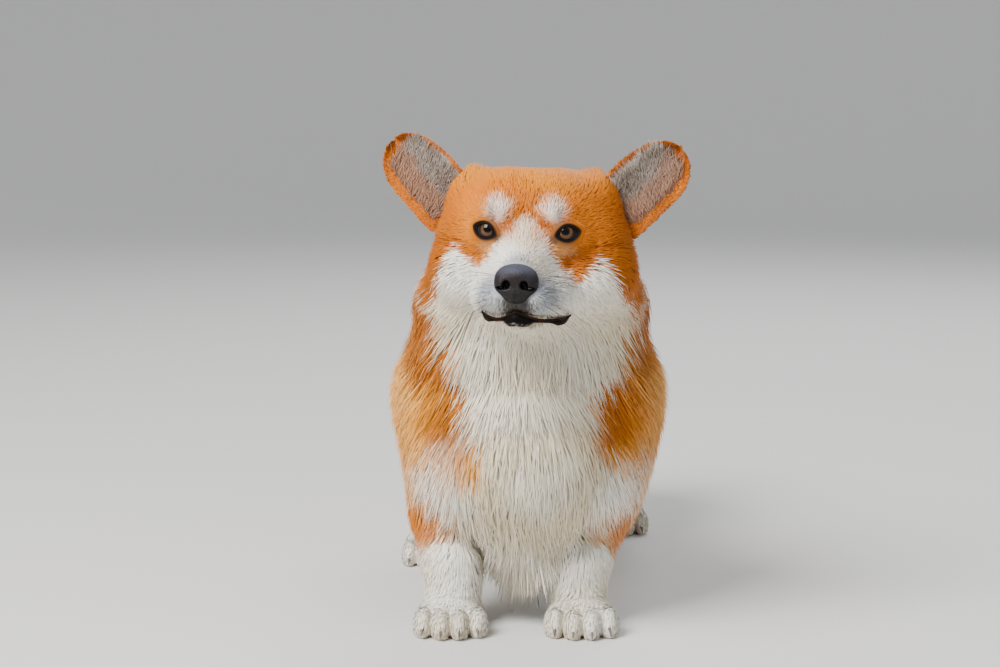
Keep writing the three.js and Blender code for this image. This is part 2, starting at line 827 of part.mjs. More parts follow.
const TAIL_LOCKS = 4;
const tailLocks = Array.from({ length: TAIL_LOCKS }, (_, i) => {
  const angle = (i / TAIL_LOCKS) * 2 * Math.PI;
  const root = surfaceAlong(tailField, tailCentre, V(Math.cos(angle), 0.25, Math.sin(angle)).normalize());
  return lockAt(tailField, root, V(0, 1, -0.25), { length: 36, width: 26, depth: 5 });
});

// Cheek hair runs back and down from the face, in the head's frame
const CHEEK_PLACES = [
  [6, -14],
  [2, -32],
  [-8, -48],
  [-22, -60],
];
const cheekLocks = SIDES.flatMap(([side]) =>
  CHEEK_PLACES.map(([y, z]) => {
    const root = surfaceAlong(headField, V(side * 20, y, z / 2), V(side, 0, z / 90).normalize());
    const lie = V(side * 0.3, 0.42, -0.85);
    return lockAt(cheekCoat, root, lie, { length: 50, width: 24, rise: 5, depth: 7 });
  }),
);

const ownerOf = ({ root }) =>
  Object.entries(bodyFields).reduce((a, b) => (a[1](root) < b[1](root) ? a : b))[0];
const bodyLocks = [
  ...chestLocks,
  ...seatLocks,
  ...breechLocks,
  ...featherLocks,
  ...bellyLocks,
  ...tailLocks,
];
const locksIn = (name) => bodyLocks.filter((one) => ownerOf(one) === name);

// The parts, cut clear of each other

const onFloor = (solid) => solid.trimByPlane([0, 0, 1], 0);
const above = (solid, height) => solid.trimByPlane([0, 0, 1], height + GAP / 2);
const below = (solid, height) => solid.trimByPlane([0, 0, -1], -(height - GAP / 2));
const ahead = (solid, y) => solid.trimByPlane([0, -1, 0], -(y - GAP / 2));
const behind = (solid, y) => solid.trimByPlane([0, 1, 0], y + GAP / 2);

const colours = {
  red: 0xc98a4e,
  white: 0xe6e0d2,
  nose: 0x3a3538,
  eye: 0x3b2312,
};
const finish = (colour, roughness = 0.85) =>
  new THREE.MeshStandardMaterial({ color: colour, roughness, metalness: 0 });

const dog = new THREE.Group();
const headGroup = new THREE.Group();
headGroup.position.copy(HEAD_CENTRE);
headGroup.quaternion.setFromRotationMatrix(headMatrix);
dog.add(headGroup);

const addPart = (group, name, solid, material) => {
  const mesh = new THREE.Mesh(geometryOf(largest(solid.simplify(FINEST))), material);
  mesh.name = name;
  group.add(mesh);
};

const torsoCutter = cutterOf(torsoSkin);
const headCutter = cutterOf(headSkin);
const noseCutter = cutterOf(noseSkin);
const legCutters = {
  foreleg_left: cutterOf(forelegs[0].skin),
  foreleg_right: cutterOf(forelegs[1].skin),
  thigh_left: cutterOf(hindlegs[0].skin),
  thigh_right: cutterOf(hindlegs[1].skin),
};
const tailCutter = cutterOf(tailSkin);

// The neck runs on inside the head as far as a plain ball
const NECK_END = { centre: V(0, -6, -2), radii: [56, 68, 42] };
const neckSolid = (skin) =>
  skin.subtract(intoWorld(ball(NECK_END.centre, NECK_END.radii, 14)));
const neckCutter = neckSolid(cutterOf(neckSkin));

const coreCutters = {
  head: intoWorld(headCutter),
  jaw: intoWorld(cutterOf(jawSkin)),
  neck: neckCutter,
  torso: torsoCutter,
  ...legCutters,
  tail: tailCutter,
};

// A part's locks, clear of every other part's core
const clearLocks = (name) => {
  const locks = locksIn(name);
  if (!locks.length) return null;
  return Object.entries(coreCutters)
    .filter(([other]) => other !== name)
    .reduce((solid, [, cutter]) => solid.subtract(cutter), locksOf(locks));
};
const withLocks = (name, core) => {
  const locks = clearLocks(name);
  return locks ? core.add(locks) : core;
};

// Parts earlier in this order keep their locks whole, and later ones are cut clear of them
const LAYERS = ["neck", "torso", "tail", "foreleg_left", "foreleg_right", "thigh_left", "thigh_right"];
const lockCutters = Object.fromEntries(
  LAYERS.map((name) => [name, locksIn(name)]).map(([name, locks]) => [
    name,
    locks.length ? locksOf(locks, GAP) : null,
  ]),
);
const cheekCutter = intoWorld(locksOf(cheekLocks, GAP));
const underLocks = (name, solid) =>
  LAYERS.slice(0, LAYERS.indexOf(name))
    .map((above) => lockCutters[above])
    .filter(Boolean)
    .reduce((rest, cutter) => rest.subtract(cutter), solid);

const torso = underLocks("torso", withLocks("torso", solidOf(torsoSkin)));
addPart(dog, "torso_front", ahead(torso, WAIST_Y), finish(colours.white));
addPart(dog, "torso_rear", behind(torso, WAIST_Y), finish(colours.red));
addPart(
  dog,
  "neck",
  withLocks("neck", neckSolid(solidOf(neckSkin)).subtract(torsoCutter)).subtract(cheekCutter),
  finish(colours.white),
);

const neckInHead = intoHead(neckCutter);
let head = united([
  solidOf(headSkin),
  solidOf(lipRoll()),
  ...SIDES.map(([side]) => lidRim(side)),
]).subtract(neckInHead);
head = head.add(locksOf(cheekLocks).subtract(neckInHead));
for (const [side, name] of SIDES) {
  const eyeball = new THREE.SphereGeometry(EYE.radius, 12, 8);
  eyeball.translate(...eyeCentre(side).toArray());
  head = head.subtract(cutterOf(eyeball)).subtract(eyeOpening(side));
  addPart(headGroup, `eye_${name}`, solidOf(eyeball), finish(colours.eye, 0.1));
  addPart(
    headGroup,
    `ear_${name}`,
    solidOf(earSkin(side)).subtract(headCutter),
    finish(colours.red),
  );
}
addPart(headGroup, "head", head.subtract(noseCutter), finish(colours.red));
addPart(
  headGroup,
  "nose",
  solidOf(noseSkin).subtract(nostril(1)).subtract(nostril(-1)),
  finish(colours.nose, 0.4),
);
addPart(
  headGroup,
  "jaw",
  solidOf(jawSkin)
    .subtract(headCutter)
    .subtract(cutterOf(lipRoll()))
    .subtract(neckInHead)
    .subtract(locksOf(cheekLocks, GAP)),
  finish(colours.white),
);

const paw = ({ paw: centre, size, skin }) =>
  onFloor(below(united([solidOf(skin), toes(centre, size), claws(centre, size)]), size.top));
SIDES.forEach(([, name], i) => {
  const [fore, hind] = [forelegs[i], hindlegs[i]];
  const upper = `foreleg_${name}`;
  const thigh = `thigh_${name}`;
  addPart(dog, `forepaw_${name}`, paw(fore), finish(colours.white));
  addPart(dog, `hindpaw_${name}`, paw(hind), finish(colours.white));
  const arm = above(solidOf(fore.skin), fore.size.top).subtract(torsoCutter);
  addPart(dog, upper, underLocks(upper, withLocks(upper, arm)), finish(colours.white));
  const shank = above(solidOf(hind.skin), hind.size.top).subtract(torsoCutter);
  const whole = underLocks(thigh, withLocks(thigh, shank));
  addPart(dog, `hindleg_${name}`, below(whole, THIGH_BOTTOM), finish(colours.white));
  addPart(dog, thigh, above(whole, THIGH_BOTTOM), finish(colours.red));
});
const tail = solidOf(tailSkin).subtract(torsoCutter);
addPart(dog, "tail", underLocks("tail", withLocks("tail", tail)), finish(colours.red));

// The origin is on the floor under the middle of the whole
const part = new THREE.Group();
part.add(dog);
const middle = new THREE.Box3().setFromObject(dog, true).getCenter(V(0, 0, 0));
dog.position.set(-middle.x, -middle.y, 0);

export default part;
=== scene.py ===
import math
from collections import namedtuple

import bpy
import numpy as np
from mathutils import Euler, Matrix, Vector


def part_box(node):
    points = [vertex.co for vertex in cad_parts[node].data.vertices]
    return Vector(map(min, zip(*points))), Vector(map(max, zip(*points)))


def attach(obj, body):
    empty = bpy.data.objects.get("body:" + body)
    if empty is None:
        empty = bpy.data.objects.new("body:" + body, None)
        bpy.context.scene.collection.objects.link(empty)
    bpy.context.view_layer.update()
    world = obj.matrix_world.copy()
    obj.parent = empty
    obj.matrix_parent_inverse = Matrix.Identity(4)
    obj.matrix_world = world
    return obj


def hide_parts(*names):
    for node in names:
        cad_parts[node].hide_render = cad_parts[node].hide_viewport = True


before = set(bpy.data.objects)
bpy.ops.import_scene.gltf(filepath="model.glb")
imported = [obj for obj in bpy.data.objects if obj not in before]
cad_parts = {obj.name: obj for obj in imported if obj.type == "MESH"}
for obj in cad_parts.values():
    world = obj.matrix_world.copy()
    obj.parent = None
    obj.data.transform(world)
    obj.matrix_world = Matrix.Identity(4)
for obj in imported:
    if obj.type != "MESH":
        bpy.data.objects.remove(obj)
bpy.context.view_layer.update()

MM = 0.001
HEAD_CENTRE = np.array([12.0, -62.0, 335.0])
HEAD_YAW, HEAD_PITCH, HEAD_ROLL = -7, 3, 1.5  # degrees
EYE_SIDE, EYE_FORWARD, EYE_UP, EYE_RADIUS = 30.5, 43.5, 7.0, 11.0
NOSE_CENTRE = np.array([0.0, -98.0, -30.0])
CHEST_X, CROUP_X = 11, 15
BACK_HEIGHT = 262
HIP_Y, TAIL_ROOT_Y = 361, 423
FORE_PAW_X, FORE_PAW_Y = 55, -10
FORE_PAW_SIZE = (64, 78)
HIND_PAWS = {1: (109, 404, 0), -1: (-79, 258, 0)}
HIND_PAW_SIZE = (56, 68)
SIDES = ((1, "left"), (-1, "right"))

rng = np.random.default_rng(11)


# Frames

def turned(angle, axis):
    return np.array(Euler([math.radians(angle) if i == axis else 0 for i in range(3)]).to_matrix())


HEAD_TURN = turned(HEAD_YAW, 2) @ turned(-HEAD_PITCH, 0) @ turned(HEAD_ROLL, 1)


def to_head(p):
    return (p - HEAD_CENTRE) @ HEAD_TURN


def from_head(q):
    return np.asarray(q) @ HEAD_TURN.T + HEAD_CENTRE


def head_way(v):
    return np.asarray(v) @ HEAD_TURN.T


eye_boxes = [np.array(corner) for node in ("eye_left", "eye_right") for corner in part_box(node)]
SHIFT = np.mean(eye_boxes, axis=0) - MM * from_head([0, -EYE_FORWARD, EYE_UP])


def placed(p):
    return np.asarray(p) * MM + SHIFT


# Camera, at the photograph's viewing angle

CAMERA_PLACE = (-13.3, -1963.3, 491.6)
CAMERA_PITCH = 7
CAMERA_LENS = 85

camera_data = bpy.data.cameras.new("camera")
camera_data.lens = CAMERA_LENS
camera_data.sensor_width = 36
camera_data.clip_end = 20
camera = bpy.data.objects.new("camera", camera_data)
camera.location = placed(CAMERA_PLACE)
camera.rotation_euler = (math.radians(90 - CAMERA_PITCH), 0, 0)
bpy.context.collection.objects.link(camera)
bpy.context.scene.camera = camera


# Distance fields of named lumps

def smooth(x, low, high):
    t = np.clip((x - low) / (high - low), 0, 1)
    return t * t * (3 - 2 * t)


def fall(x, low, high):
    """1 below the low end and 0 above the high one."""
    return 1 - smooth(x, low, high)


def unit(v):
    return v / np.maximum(np.linalg.norm(v, axis=-1, keepdims=True), 1e-9)


def vectors(x, y, z):
    return np.stack(np.broadcast_arrays(x, y, z), axis=-1)


def ellipsoid(centre, radii):
    centre, radii = np.array(centre, float), np.array(radii, float)

    def field(p):
        q = (p - centre) / radii
        reach = np.maximum(np.linalg.norm(q, axis=1), 1e-3)
        steep = np.maximum(np.linalg.norm(q / radii, axis=1), 1e-3 / radii.max())
        return reach * (reach - 1) / steep

    return field


def limb(start, start_radius, end, end_radius):
    start, end = np.array(start, float), np.array(end, float)
    along = end - start

    def field(p):
        t = np.clip((p - start) @ along / (along @ along), 0, 1)
        across = np.linalg.norm(p - start - t[:, None] * along, axis=1)
        return across - start_radius - t * (end_radius - start_radius)

    return field


def through(stations):
    """A smooth curve through (place, value) stations, flat beyond its ends."""
    x, y = np.array(stations, float).T
    slopes = np.empty_like(y)
    slopes[1:-1] = (y[2:] - y[:-2]) / (x[2:] - x[:-2])
    slopes[0] = (y[1] - y[0]) / (x[1] - x[0])
    slopes[-1] = (y[-1] - y[-2]) / (x[-1] - x[-2])

    def curve(place):
        place = np.clip(place, x[0], x[-1])
        i = np.clip(np.searchsorted(x, place, side="right") - 1, 0, len(x) - 2)
        w = x[i + 1] - x[i]
        t = (place - x[i]) / w
        ends = y[i] * (1 + 2 * t) * (1 - t) ** 2 + y[i + 1] * t * t * (3 - 2 * t)
        return ends + w * (slopes[i] * t * (1 - t) ** 2 - slopes[i + 1] * t * t * (1 - t))

    return curve


def trunk(middle_x, fullness, stations):
    """A trunk along Y from stations (y, half width, top, bottom)."""
    def size(values):
        curve = through([(row[0], value ** 2) for row, value in zip(stations, values)])
        return lambda y: np.sqrt(np.maximum(curve(y), 1))

    half_width = size([width for _, width, _, _ in stations])
    half_height = size([(top - bottom) / 2 for _, _, top, bottom in stations])
    middle_z = through([(y, (top + bottom) / 2) for y, _, top, bottom in stations])

    def field(p):
        y = p[:, 1]
        w, h = half_width(y), half_height(y)
        reach = np.abs((p[:, 0] - middle_x(y)) / w) ** fullness
        reach = (reach + np.abs((p[:, 2] - middle_z(y)) / h) ** fullness) ** (1 / fullness)
        past = np.maximum(np.maximum(stations[0][0] - y, y - stations[-1][0]), 0)
        return (reach - 1) * np.minimum(w, h) + past

    return field


def soft_min(a, b, softness):
    h = np.maximum(softness - np.abs(a - b), 0) / softness
    return np.minimum(a, b) - h * h * softness / 4


def blend(softness, *fields):
    def field(p):
        level = fields[0](p)
        for other in fields[1:]:
            level = soft_min(level, other(p), softness)
        return level

    return field


def slope(field, p):
    """The direction in which the field grows, with its level at p."""
    step = 0.4
    level = field(p)
    rise = [field(p + step * axis) - level for axis in np.eye(3)]
    return unit(np.stack(rise, axis=-1)), level


def settle(field, p, level=0.0, times=3):
    for _ in range(times):
        away, now = slope(field, p)
        p = p + away * np.clip(0.9 * (level - now), -6, 6)[:, None]
    return p


def ripple(p, size, phase=0.0):
    """A smooth wave that wanders between -1 and 1, about `size` across."""
    q = p / size
    a = np.sin(q @ [1.0, 0.7, -0.4] + 1.3 + phase) + np.sin(q @ [-0.6, 1.1, 0.8] + 4.1 - phase)
    b = np.sin(q @ [0.5, -0.9, 1.2] + 2.7 + 2 * phase) + np.sin(q @ [1.4, 0.3, 0.9] - 0.5 * phase)
    return np.sin(1.3 * a + 0.9 * b + np.sin(q @ [0.9, 0.8, -1.3] + phase))


# The body, as its coat's outer surface

chest_to_croup_x = through([(0, CHEST_X), (TAIL_ROOT_Y, CROUP_X)])
TRUNK_FULLNESS = 2.3  # 2 is an oval, and more is squarer
TRUNK_STATIONS = [
    (5, 76, 244, 68),
    (40, 92, BACK_HEIGHT, 52),
    (110, 91, BACK_HEIGHT - 3, 56),
    (190, 84, BACK_HEIGHT - 6, 70),
    (270, 79, BACK_HEIGHT - 4, 86),
    (340, 82, BACK_HEIGHT - 2, 96),
    (395, 73, BACK_HEIGHT - 10, 112),
    (427, 48, 228, 140),
    (440, 0, 190, 190),
]
torso_field = blend(
    20,
    trunk(chest_to_croup_x, TRUNK_FULLNESS, TRUNK_STATIONS),
    *[ellipsoid((CHEST_X + side * 66, 28, 192), (50, 60, 62)) for side, _ in SIDES],  # shoulders
    *[ellipsoid((CHEST_X + side * 60, 22, 138), (44, 58, 62)) for side, _ in SIDES],  # upper arms
    ellipsoid((CHEST_X, 14, 160), (86, 98, 92)),  # chest
    ellipsoid((CHEST_X, 44, 74), (46, 76, 41)),  # brisket
)
neck_field = blend(
    20,
    ellipsoid((CHEST_X, 6, 228), (100, 78, 58)),  # ruff
    ellipsoid((CHEST_X + 1, -20, 280), (98, 64, 58)),  # throat
    limb((CHEST_X, 66, 218), 38, (CHEST_X + 1, -8, 324), 36),  # nape
)
tail_field = ellipsoid((CROUP_X, TAIL_ROOT_Y - 4, 226), (26, 30, 25))


def paw_lumps(centre, size):
    """The pad and the four toes of a paw."""
    centre = np.array(centre, float)
    width, length = size
    pad = ellipsoid(centre + (0, 6, 9), (width * 0.46, length * 0.45, 24))
    toes = [
        ellipsoid(place, (width * 0.15, length * 0.235, 15))
        for _, place in toe_places(centre, size, 0.37)
    ]
    return pad, blend(1.5, *toes)


def toe_places(centre, size, reach):
    """Each toe's number from the paw's middle, and its place at a share of the paw's length."""
    width, length = size
    for toe in (-1.5, -0.5, 0.5, 1.5):
        yield toe, centre + np.array([toe * width * 0.235, -length * (reach - 0.045 * toe * toe), 9])


def foreleg_field(side):
    paw = np.array([side * FORE_PAW_X, FORE_PAW_Y, 0.0])
    wrist = np.array([side * 53.0, 4.0, 36.0])
    pastern = wrist + (side * 2, 4, 22)
    elbow = (side * 60 + 3, 26, 92)
    shoulder = (CHEST_X + side * 62, 18, 165)
    pad, toes = paw_lumps(paw, FORE_PAW_SIZE)
    leg = blend(
        8,
        pad,
        limb(wrist, 25.5, pastern, 26),
        limb(pastern, 26, elbow, 33),
        limb(elbow, 33, shoulder, 40),
    )
    return blend(4, leg, toes)


def hindleg_field(side):
    paw = np.array(HIND_PAWS[side], float)
    hip = np.array([CROUP_X + side * 46.0, HIP_Y - 6.0, 178.0])
    knee = (
        (hip[0] + paw[0]) / 2 + side * 6,
        hip[1] + 0.35 * (paw[1] - hip[1]) - 46,
        120,
    )
    hock = paw + (-side * 6, 38, 58)
    pad, toes = paw_lumps(paw, HIND_PAW_SIZE)
    leg = blend(
        14,
        pad,
        limb(paw + (0, 14, 18), 19, hock, 18),  # pastern
        limb(hock, 19, knee, 40),  # lower thigh
        limb(knee, 42, hip, 58),  # upper thigh
        ellipsoid(hip + (side * 6, 4, -24), (46, 72, 65)),  # haunch
        limb(hip + (side * 8, 26, -26), 44, hock + (0, -6, 36), 27),  # breeches
    )
    return blend(4, leg, toes)


# The head, in its own frame

EYES_INWARDS = {1: -1.2, -1: 1.8}


def eye_centre(side):
    return np.array([side * (EYE_SIDE - EYES_INWARDS[side]), -EYE_FORWARD, EYE_UP])


def head_lumps():
    lumps = []
    for side, _ in SIDES:
        lumps += [
            ellipsoid((side * 20, 8, 14), (50, 60, 44)),  # half of the cranium
            ellipsoid((side * 51 + 2, 2, 0), (28, 40, 28)),  # temple
            ellipsoid((side * 50, 8, 31), (20, 22, 23)),  # root of the ear
            ellipsoid((side * 45 + 2, 4, -26), (42, 50, 38)),  # cheek
            ellipsoid((side * 24, -43, 22), (15, 14, 10)),  # brow
            ellipsoid(eye_centre(side) + (side * 2, 6, -3), (17, 15, 15)),
            ellipsoid((side * 13, -78, -42), (18, 25, 16)),  # flew
            ellipsoid((side * 25, -54, -44), (16, 25, 19)),  # lip towards its corner
        ]
    lumps += [
        ellipsoid((0, -20, 22), (42, 31, 32)),  # forehead
        ellipsoid((0, -24, -34), (44, 40, 24)),  # roof of the throat
        limb((0, -38, -16), 32, (0, 12 + NOSE_CENTRE[1], -27), 17),  # muzzle
    ]
    return lumps


jaw_lumps = blend(10, limb((0, -24, -52), 21, (0, -78, -58), 11), ellipsoid((0, -10, -50), (44, 40, 25)))
face_lumps = blend(12, *head_lumps())


def head_field(p):
    q = to_head(p)
    return soft_min(face_lumps(q), jaw_lumps(q), 3)


# Eye openings: an almond that faces outwards and slants down towards the nose

OPENING_WIDTH, OPENING_UP, OPENING_DOWN = 7.5, 6.2, 5.8
OPENING_POINT = 0.3  # how pointed the corners are
OPENING_MARGIN = 1.3  # how far past its edge the skin is cut away, as a share
EYE_OUTWARDS, EYE_SLANT, RIGHT_EYE_SLANT = 16, 12, 9  # degrees; the right eye slants by both
EYE_TURN = {side: turned(side * EYE_OUTWARDS, 2) @ turned(-side * EYE_SLANT, 1) for side, _ in SIDES}
EYE_TURN[-1] = EYE_TURN[-1] @ turned(RIGHT_EYE_SLANT, 1)
LID_RADIUS, LID_STRETCH = 12.4, (1.12, 1.0, 0.94)


def eye_frame(side, q):
    """Across, out of the eye and up, from the eye's centre, in the eye's own frame."""
    local = (q - eye_centre(side)) @ EYE_TURN[side]
    return local * (side, -1, 1)


def opening_height(up):
    return np.where(up > 0, OPENING_UP, OPENING_DOWN)


def almond(angle):
    """The opening's edge as (across, up)."""
    up = np.sin(angle)
    return OPENING_WIDTH * np.cos(angle), opening_height(up) * up * np.abs(up) ** OPENING_POINT


def almond_reach(across, up):
    """1 on the opening's edge, and more outside it."""
    steep = (np.abs(up) / opening_height(up)) ** (1 / (1 + OPENING_POINT))
    return np.hypot(across / OPENING_WIDTH, steep)


def with_lids(level, q):
    """The lids' swelling over the eyes."""
    for side, _ in SIDES:
        local = eye_frame(side, q)
        lid = np.linalg.norm(local / LID_STRETCH, axis=1) - LID_RADIUS
        level = soft_min(level, lid, 5)
    return level


def with_openings(level, q):
    """The eyes' sockets, and openings whose edges the lids' own pieces cover."""
    for side, _ in SIDES:
        local = eye_frame(side, q)
        across, out, up = local.T
        opening = (almond_reach(across, up) - OPENING_MARGIN) * 6
        opening = np.where(out > 0, opening, 9)
        level = np.maximum(level, -opening)
        level = np.maximum(level, EYE_RADIUS + 0.5 - np.linalg.norm(local, axis=1))
    return level


# The mouth's lines, over 0 at its middle to 1 at a corner; its left half is the longer one

LIP_ENDS = {1: 39, -1: 28}
CORNER_LIFTS = {1: -1.5, -1: 0.5}
lip_heights = through([(0, -54), (0.25, -57.5), (0.5, -60), (0.75, -59.5), (0.92, -57.2), (1, -55)])
lip_gaps = through([(0, 8.5), (0.2, 6.5), (0.36, 2.2), (0.6, 1.2), (0.8, 2.2), (0.92, 1.8), (1, 0.3)])


def along_lip(x):
    return np.abs(x) / np.where(x > 0, LIP_ENDS[1], LIP_ENDS[-1])


def lip_top(x):
    u = along_lip(x)
    return lip_heights(u) + np.where(x > 0, CORNER_LIFTS[1], CORNER_LIFTS[-1]) * smooth(u, 0.5, 1)


def lip_bottom(x):
    return lip_top(x) - lip_gaps(along_lip(x))


def lip_front(x):
    """How far forward the flews' surface is just above the mouth."""
    place = vectors(x, -135.0, lip_top(x) + 4)
    for _ in range(40):
        place[:, 1] += 0.8 * face_lumps(place)
    return place[:, 1]


# Regions of the coat: each has its own depth, length, lie and looseness of hair, as functions of
# place, and its tufts' width, spacing and rise above the coat. Where regions meet they mix.

Region = namedtuple("Region", "name field depth length lie width spacing rise loose")


def side_of(p):
    return np.clip((p[:, 0] - CHEST_X) / 80, -1.2, 1.2)


def head_depth(p):
    q = to_head(p)
    cheek = smooth(np.abs(q[:, 0]), 42, 74) * fall(q[:, 2], -20, 10)
    return 2.0 + 2.5 * smooth(q[:, 1], -36, 10) + 5 * cheek


def temple_fluff(q):
    """The loose hair at the ears' outer edges."""
    return sum(spot(q, (side * 74, 10, -4), (20, 30, 24), 0.6) for side, _ in SIDES)


def ear_fluff(q):
    """The long soft hair in front of the ears' inner edges."""
    return sum(spot(q, (side * 50, 4, 42), (20, 24, 18), 0.6) for side, _ in SIDES)


def head_length(p):
    q = to_head(p)
    back = smooth(q[:, 1], -46, 0)
    cheek = smooth(np.abs(q[:, 0]), 34, 66) * fall(q[:, 2], -26, 0)
    throat = fall(q[:, 2], -66, -48) * smooth(q[:, 1], -70, -30)
    muzzle = fall(q[:, 1], -80, -50)
    fluff = 9 * ear_fluff(q) + 8 * temple_fluff(q)
    return 7.0 - 2.4 * muzzle + 6 * back + 22 * cheek + 16 * throat + fluff


def head_lie(p):
    q = to_head(p)
    away = (q - (0, -116, -22)) * (0.75, 1.0, 0.55)
    low = fall(q[:, 2], -34, 4)
    cheek = smooth(np.abs(q[:, 0]), 30, 60) * low
    away = unit(away)
    away[:, 2] -= 0.65 * cheek + 0.35 * low
    away[:, 0] += 0.3 * cheek * np.sign(q[:, 0])
    crown = smooth(q[:, 2], 20, 44)
    away[:, 2] += 0.3 * crown + 0.9 * ear_fluff(q)
    return unit(away) @ HEAD_TURN.T


def neck_depth(p):
    return 13 - 5 * smooth(p[:, 1], 30, 80)


def neck_length(p):
    return 62 - 26 * smooth(p[:, 1], 20, 70) - 14 * smooth(p[:, 2], 270, 310)


def neck_lie(p):
    side = side_of(p)
    back = smooth(p[:, 1], 0, 60)
    return vectors(0.5 * side, 0.1 + 0.34 * np.abs(side) + 0.8 * back, -1)


def front_share(p):
    return 1 - smooth(p[:, 1], 50, 110)


def under_share(p):
    return 1 - smooth(p[:, 2], 84, 126)


def torso_depth(p):
    return 7 + 6 * front_share(p) + 2 * under_share(p)


def torso_length(p):
    seat = smooth(p[:, 1], HIP_Y + 10, HIP_Y + 60)
    keel = smooth(torso_loose(p), 0.3, 0.8)
    return 30 + 28 * front_share(p) + (12 - 33 * keel) * under_share(p) + 16 * seat


def torso_lie(p):
    side = side_of(p)
    front = front_share(p)
    low = fall(p[:, 2], 130, 240)
    seat = smooth(p[:, 1], HIP_Y + 30, HIP_Y + 75)
    back = vectors(0.1 * side, 1, -0.12 - 0.4 * low - 1.6 * seat)
    down = vectors(0.42 * side, 0.1 + 0.3 * np.abs(side), -1)
    return unit(back) * (1 - front)[:, None] + unit(down) * front[:, None]


def torso_loose(p):
    """How far hair hangs free of the body: at the brisket it hangs straight down."""
    keel = fall(p[:, 2], 84, 122) * fall(p[:, 1], 20, 70)
    return 0.9 * keel * fall(np.abs(p[:, 0] - CHEST_X), 22, 44) + 0.12 * front_share(p)


def neck_loose(p):
    return 0.10 + 0.26 * smooth(np.abs(side_of(p)), 0.6, 1.0)


def head_loose(p):
    q = to_head(p)
    cheek = smooth(np.abs(q[:, 0]), 50, 80) * fall(q[:, 2], -20, 10)
    crown = smooth(q[:, 2], 30, 50)
    return 0.14 * cheek + 0.16 * crown + 0.4 * ear_fluff(q) + 0.3 * temple_fluff(q)


def leg_depth(p):
    return 1.6 + 1.6 * smooth(p[:, 2], 20, 50) + 6 * smooth(p[:, 2], 60, 130)


def foreleg_length(p):
    feather = smooth(p[:, 1], 20, 50) * smooth(p[:, 2], 50, 80)
    return 5.5 + 9 * smooth(p[:, 2], 22, 60) + 24 * smooth(p[:, 2], 90, 150) + 14 * feather


def hindleg_length(p):
    breech = smooth(p[:, 1], HIP_Y - 10, HIP_Y + 40) * smooth(p[:, 2], 84, 120)
    return 5.5 + 8 * smooth(p[:, 2], 22, 60) + 12 * smooth(p[:, 2], 90, 140) + 26 * breech


def leg_lie(p):
    low = fall(p[:, 2], 16, 40)
    down = vectors(0.1 * side_of(p), 0.28, -1)
    return vectors(0, -1, -0.75) * low[:, None] + down * (1 - low)[:, None]


def tail_lie(p):
    out = p - (CROUP_X, TAIL_ROOT_Y - 4, 226)
    return unit(out) * 0.4 + (0, 1, -0.4)


def flat(value):
    return lambda p: np.full(len(p), float(value))


REGIONS = [
    Region("head", head_field, head_depth, head_length, head_lie, 0.95, 1.56, 0.7, head_loose),
    Region("neck", neck_field, neck_depth, neck_length, neck_lie, 1.4, 1.62, 4.5, neck_loose),
    Region("torso", torso_field, torso_depth, torso_length, torso_lie, 1.6, 2.55, 3.0, torso_loose),
    Region("tail", tail_field, flat(6), flat(34), tail_lie, 2.4, 3.0, 2.0, flat(0)),
]
for side, name in SIDES:
    foreleg = (foreleg_field(side), leg_depth, foreleg_length, leg_lie, 1.4, 2.0, 0.4, flat(0))
    hindleg = (hindleg_field(side), leg_depth, hindleg_length, leg_lie, 1.6, 2.4, 0.6, flat(0))
    REGIONS += [Region(f"foreleg_{name}", *foreleg), Region(f"hindleg_{name}", *hindleg)]

REGION_MIX = 9.0  # how far two regions mix
COAT_SOFTNESS = 12


HEAD_REGION = 0
HEAD_NEAR = 12  # how near the head's surface its short dense hair ends


def levels_of(p):
    return [region.field(p) for region in REGIONS]


def coat_level(levels):
    level = levels[0]
    for other in levels[1:]:
        level = soft_min(level, other, COAT_SOFTNESS)
    return level


def coat_field(p):
    return coat_level(levels_of(p))


def shares_of(levels):
    """Each region's share at a place, by how near the region is."""
    nearness = np.exp(-(np.array(levels) - np.min(levels, axis=0)) / REGION_MIX)
    return nearness / nearness.sum(axis=0)


def mix(levels, values):
    return sum(share * value for share, value in zip(shares_of(levels), values))


def closed_skin(p):
    levels = levels_of(p)
    depth = mix(levels, [region.depth(p) for region in REGIONS])
    return with_lids(coat_level(levels) + depth, to_head(p))


def skin_field(p):
    return with_openings(closed_skin(p), to_head(p))


# Meshes

def sampled(field, low, cell, count, block=4):
    """The field at a grid's corners. Blocks of corners far from the surface keep one value."""
    blocks = -(-count // block)
    middles = np.stack(np.meshgrid(*[np.arange(n) for n in blocks], indexing="ij"), axis=-1)
    middles = low + cell * (block * middles + (block - 1) / 2)
    coarse = in_chunks(field, middles.reshape(-1, 3)).reshape(blocks)
    value = coarse
    for axis in range(3):
        value = np.repeat(value, block, axis=axis)
    value = value[: count[0], : count[1], : count[2]].copy()
    near = np.argwhere(np.abs(value) < 1.5 * block * cell)
    value[tuple(near.T)] = in_chunks(field, low + cell * near)
    return value


def in_chunks(field, points, size=100000):
    chunks = np.array_split(points, max(1, len(points) // size))
    return np.concatenate([field(chunk) for chunk in chunks])


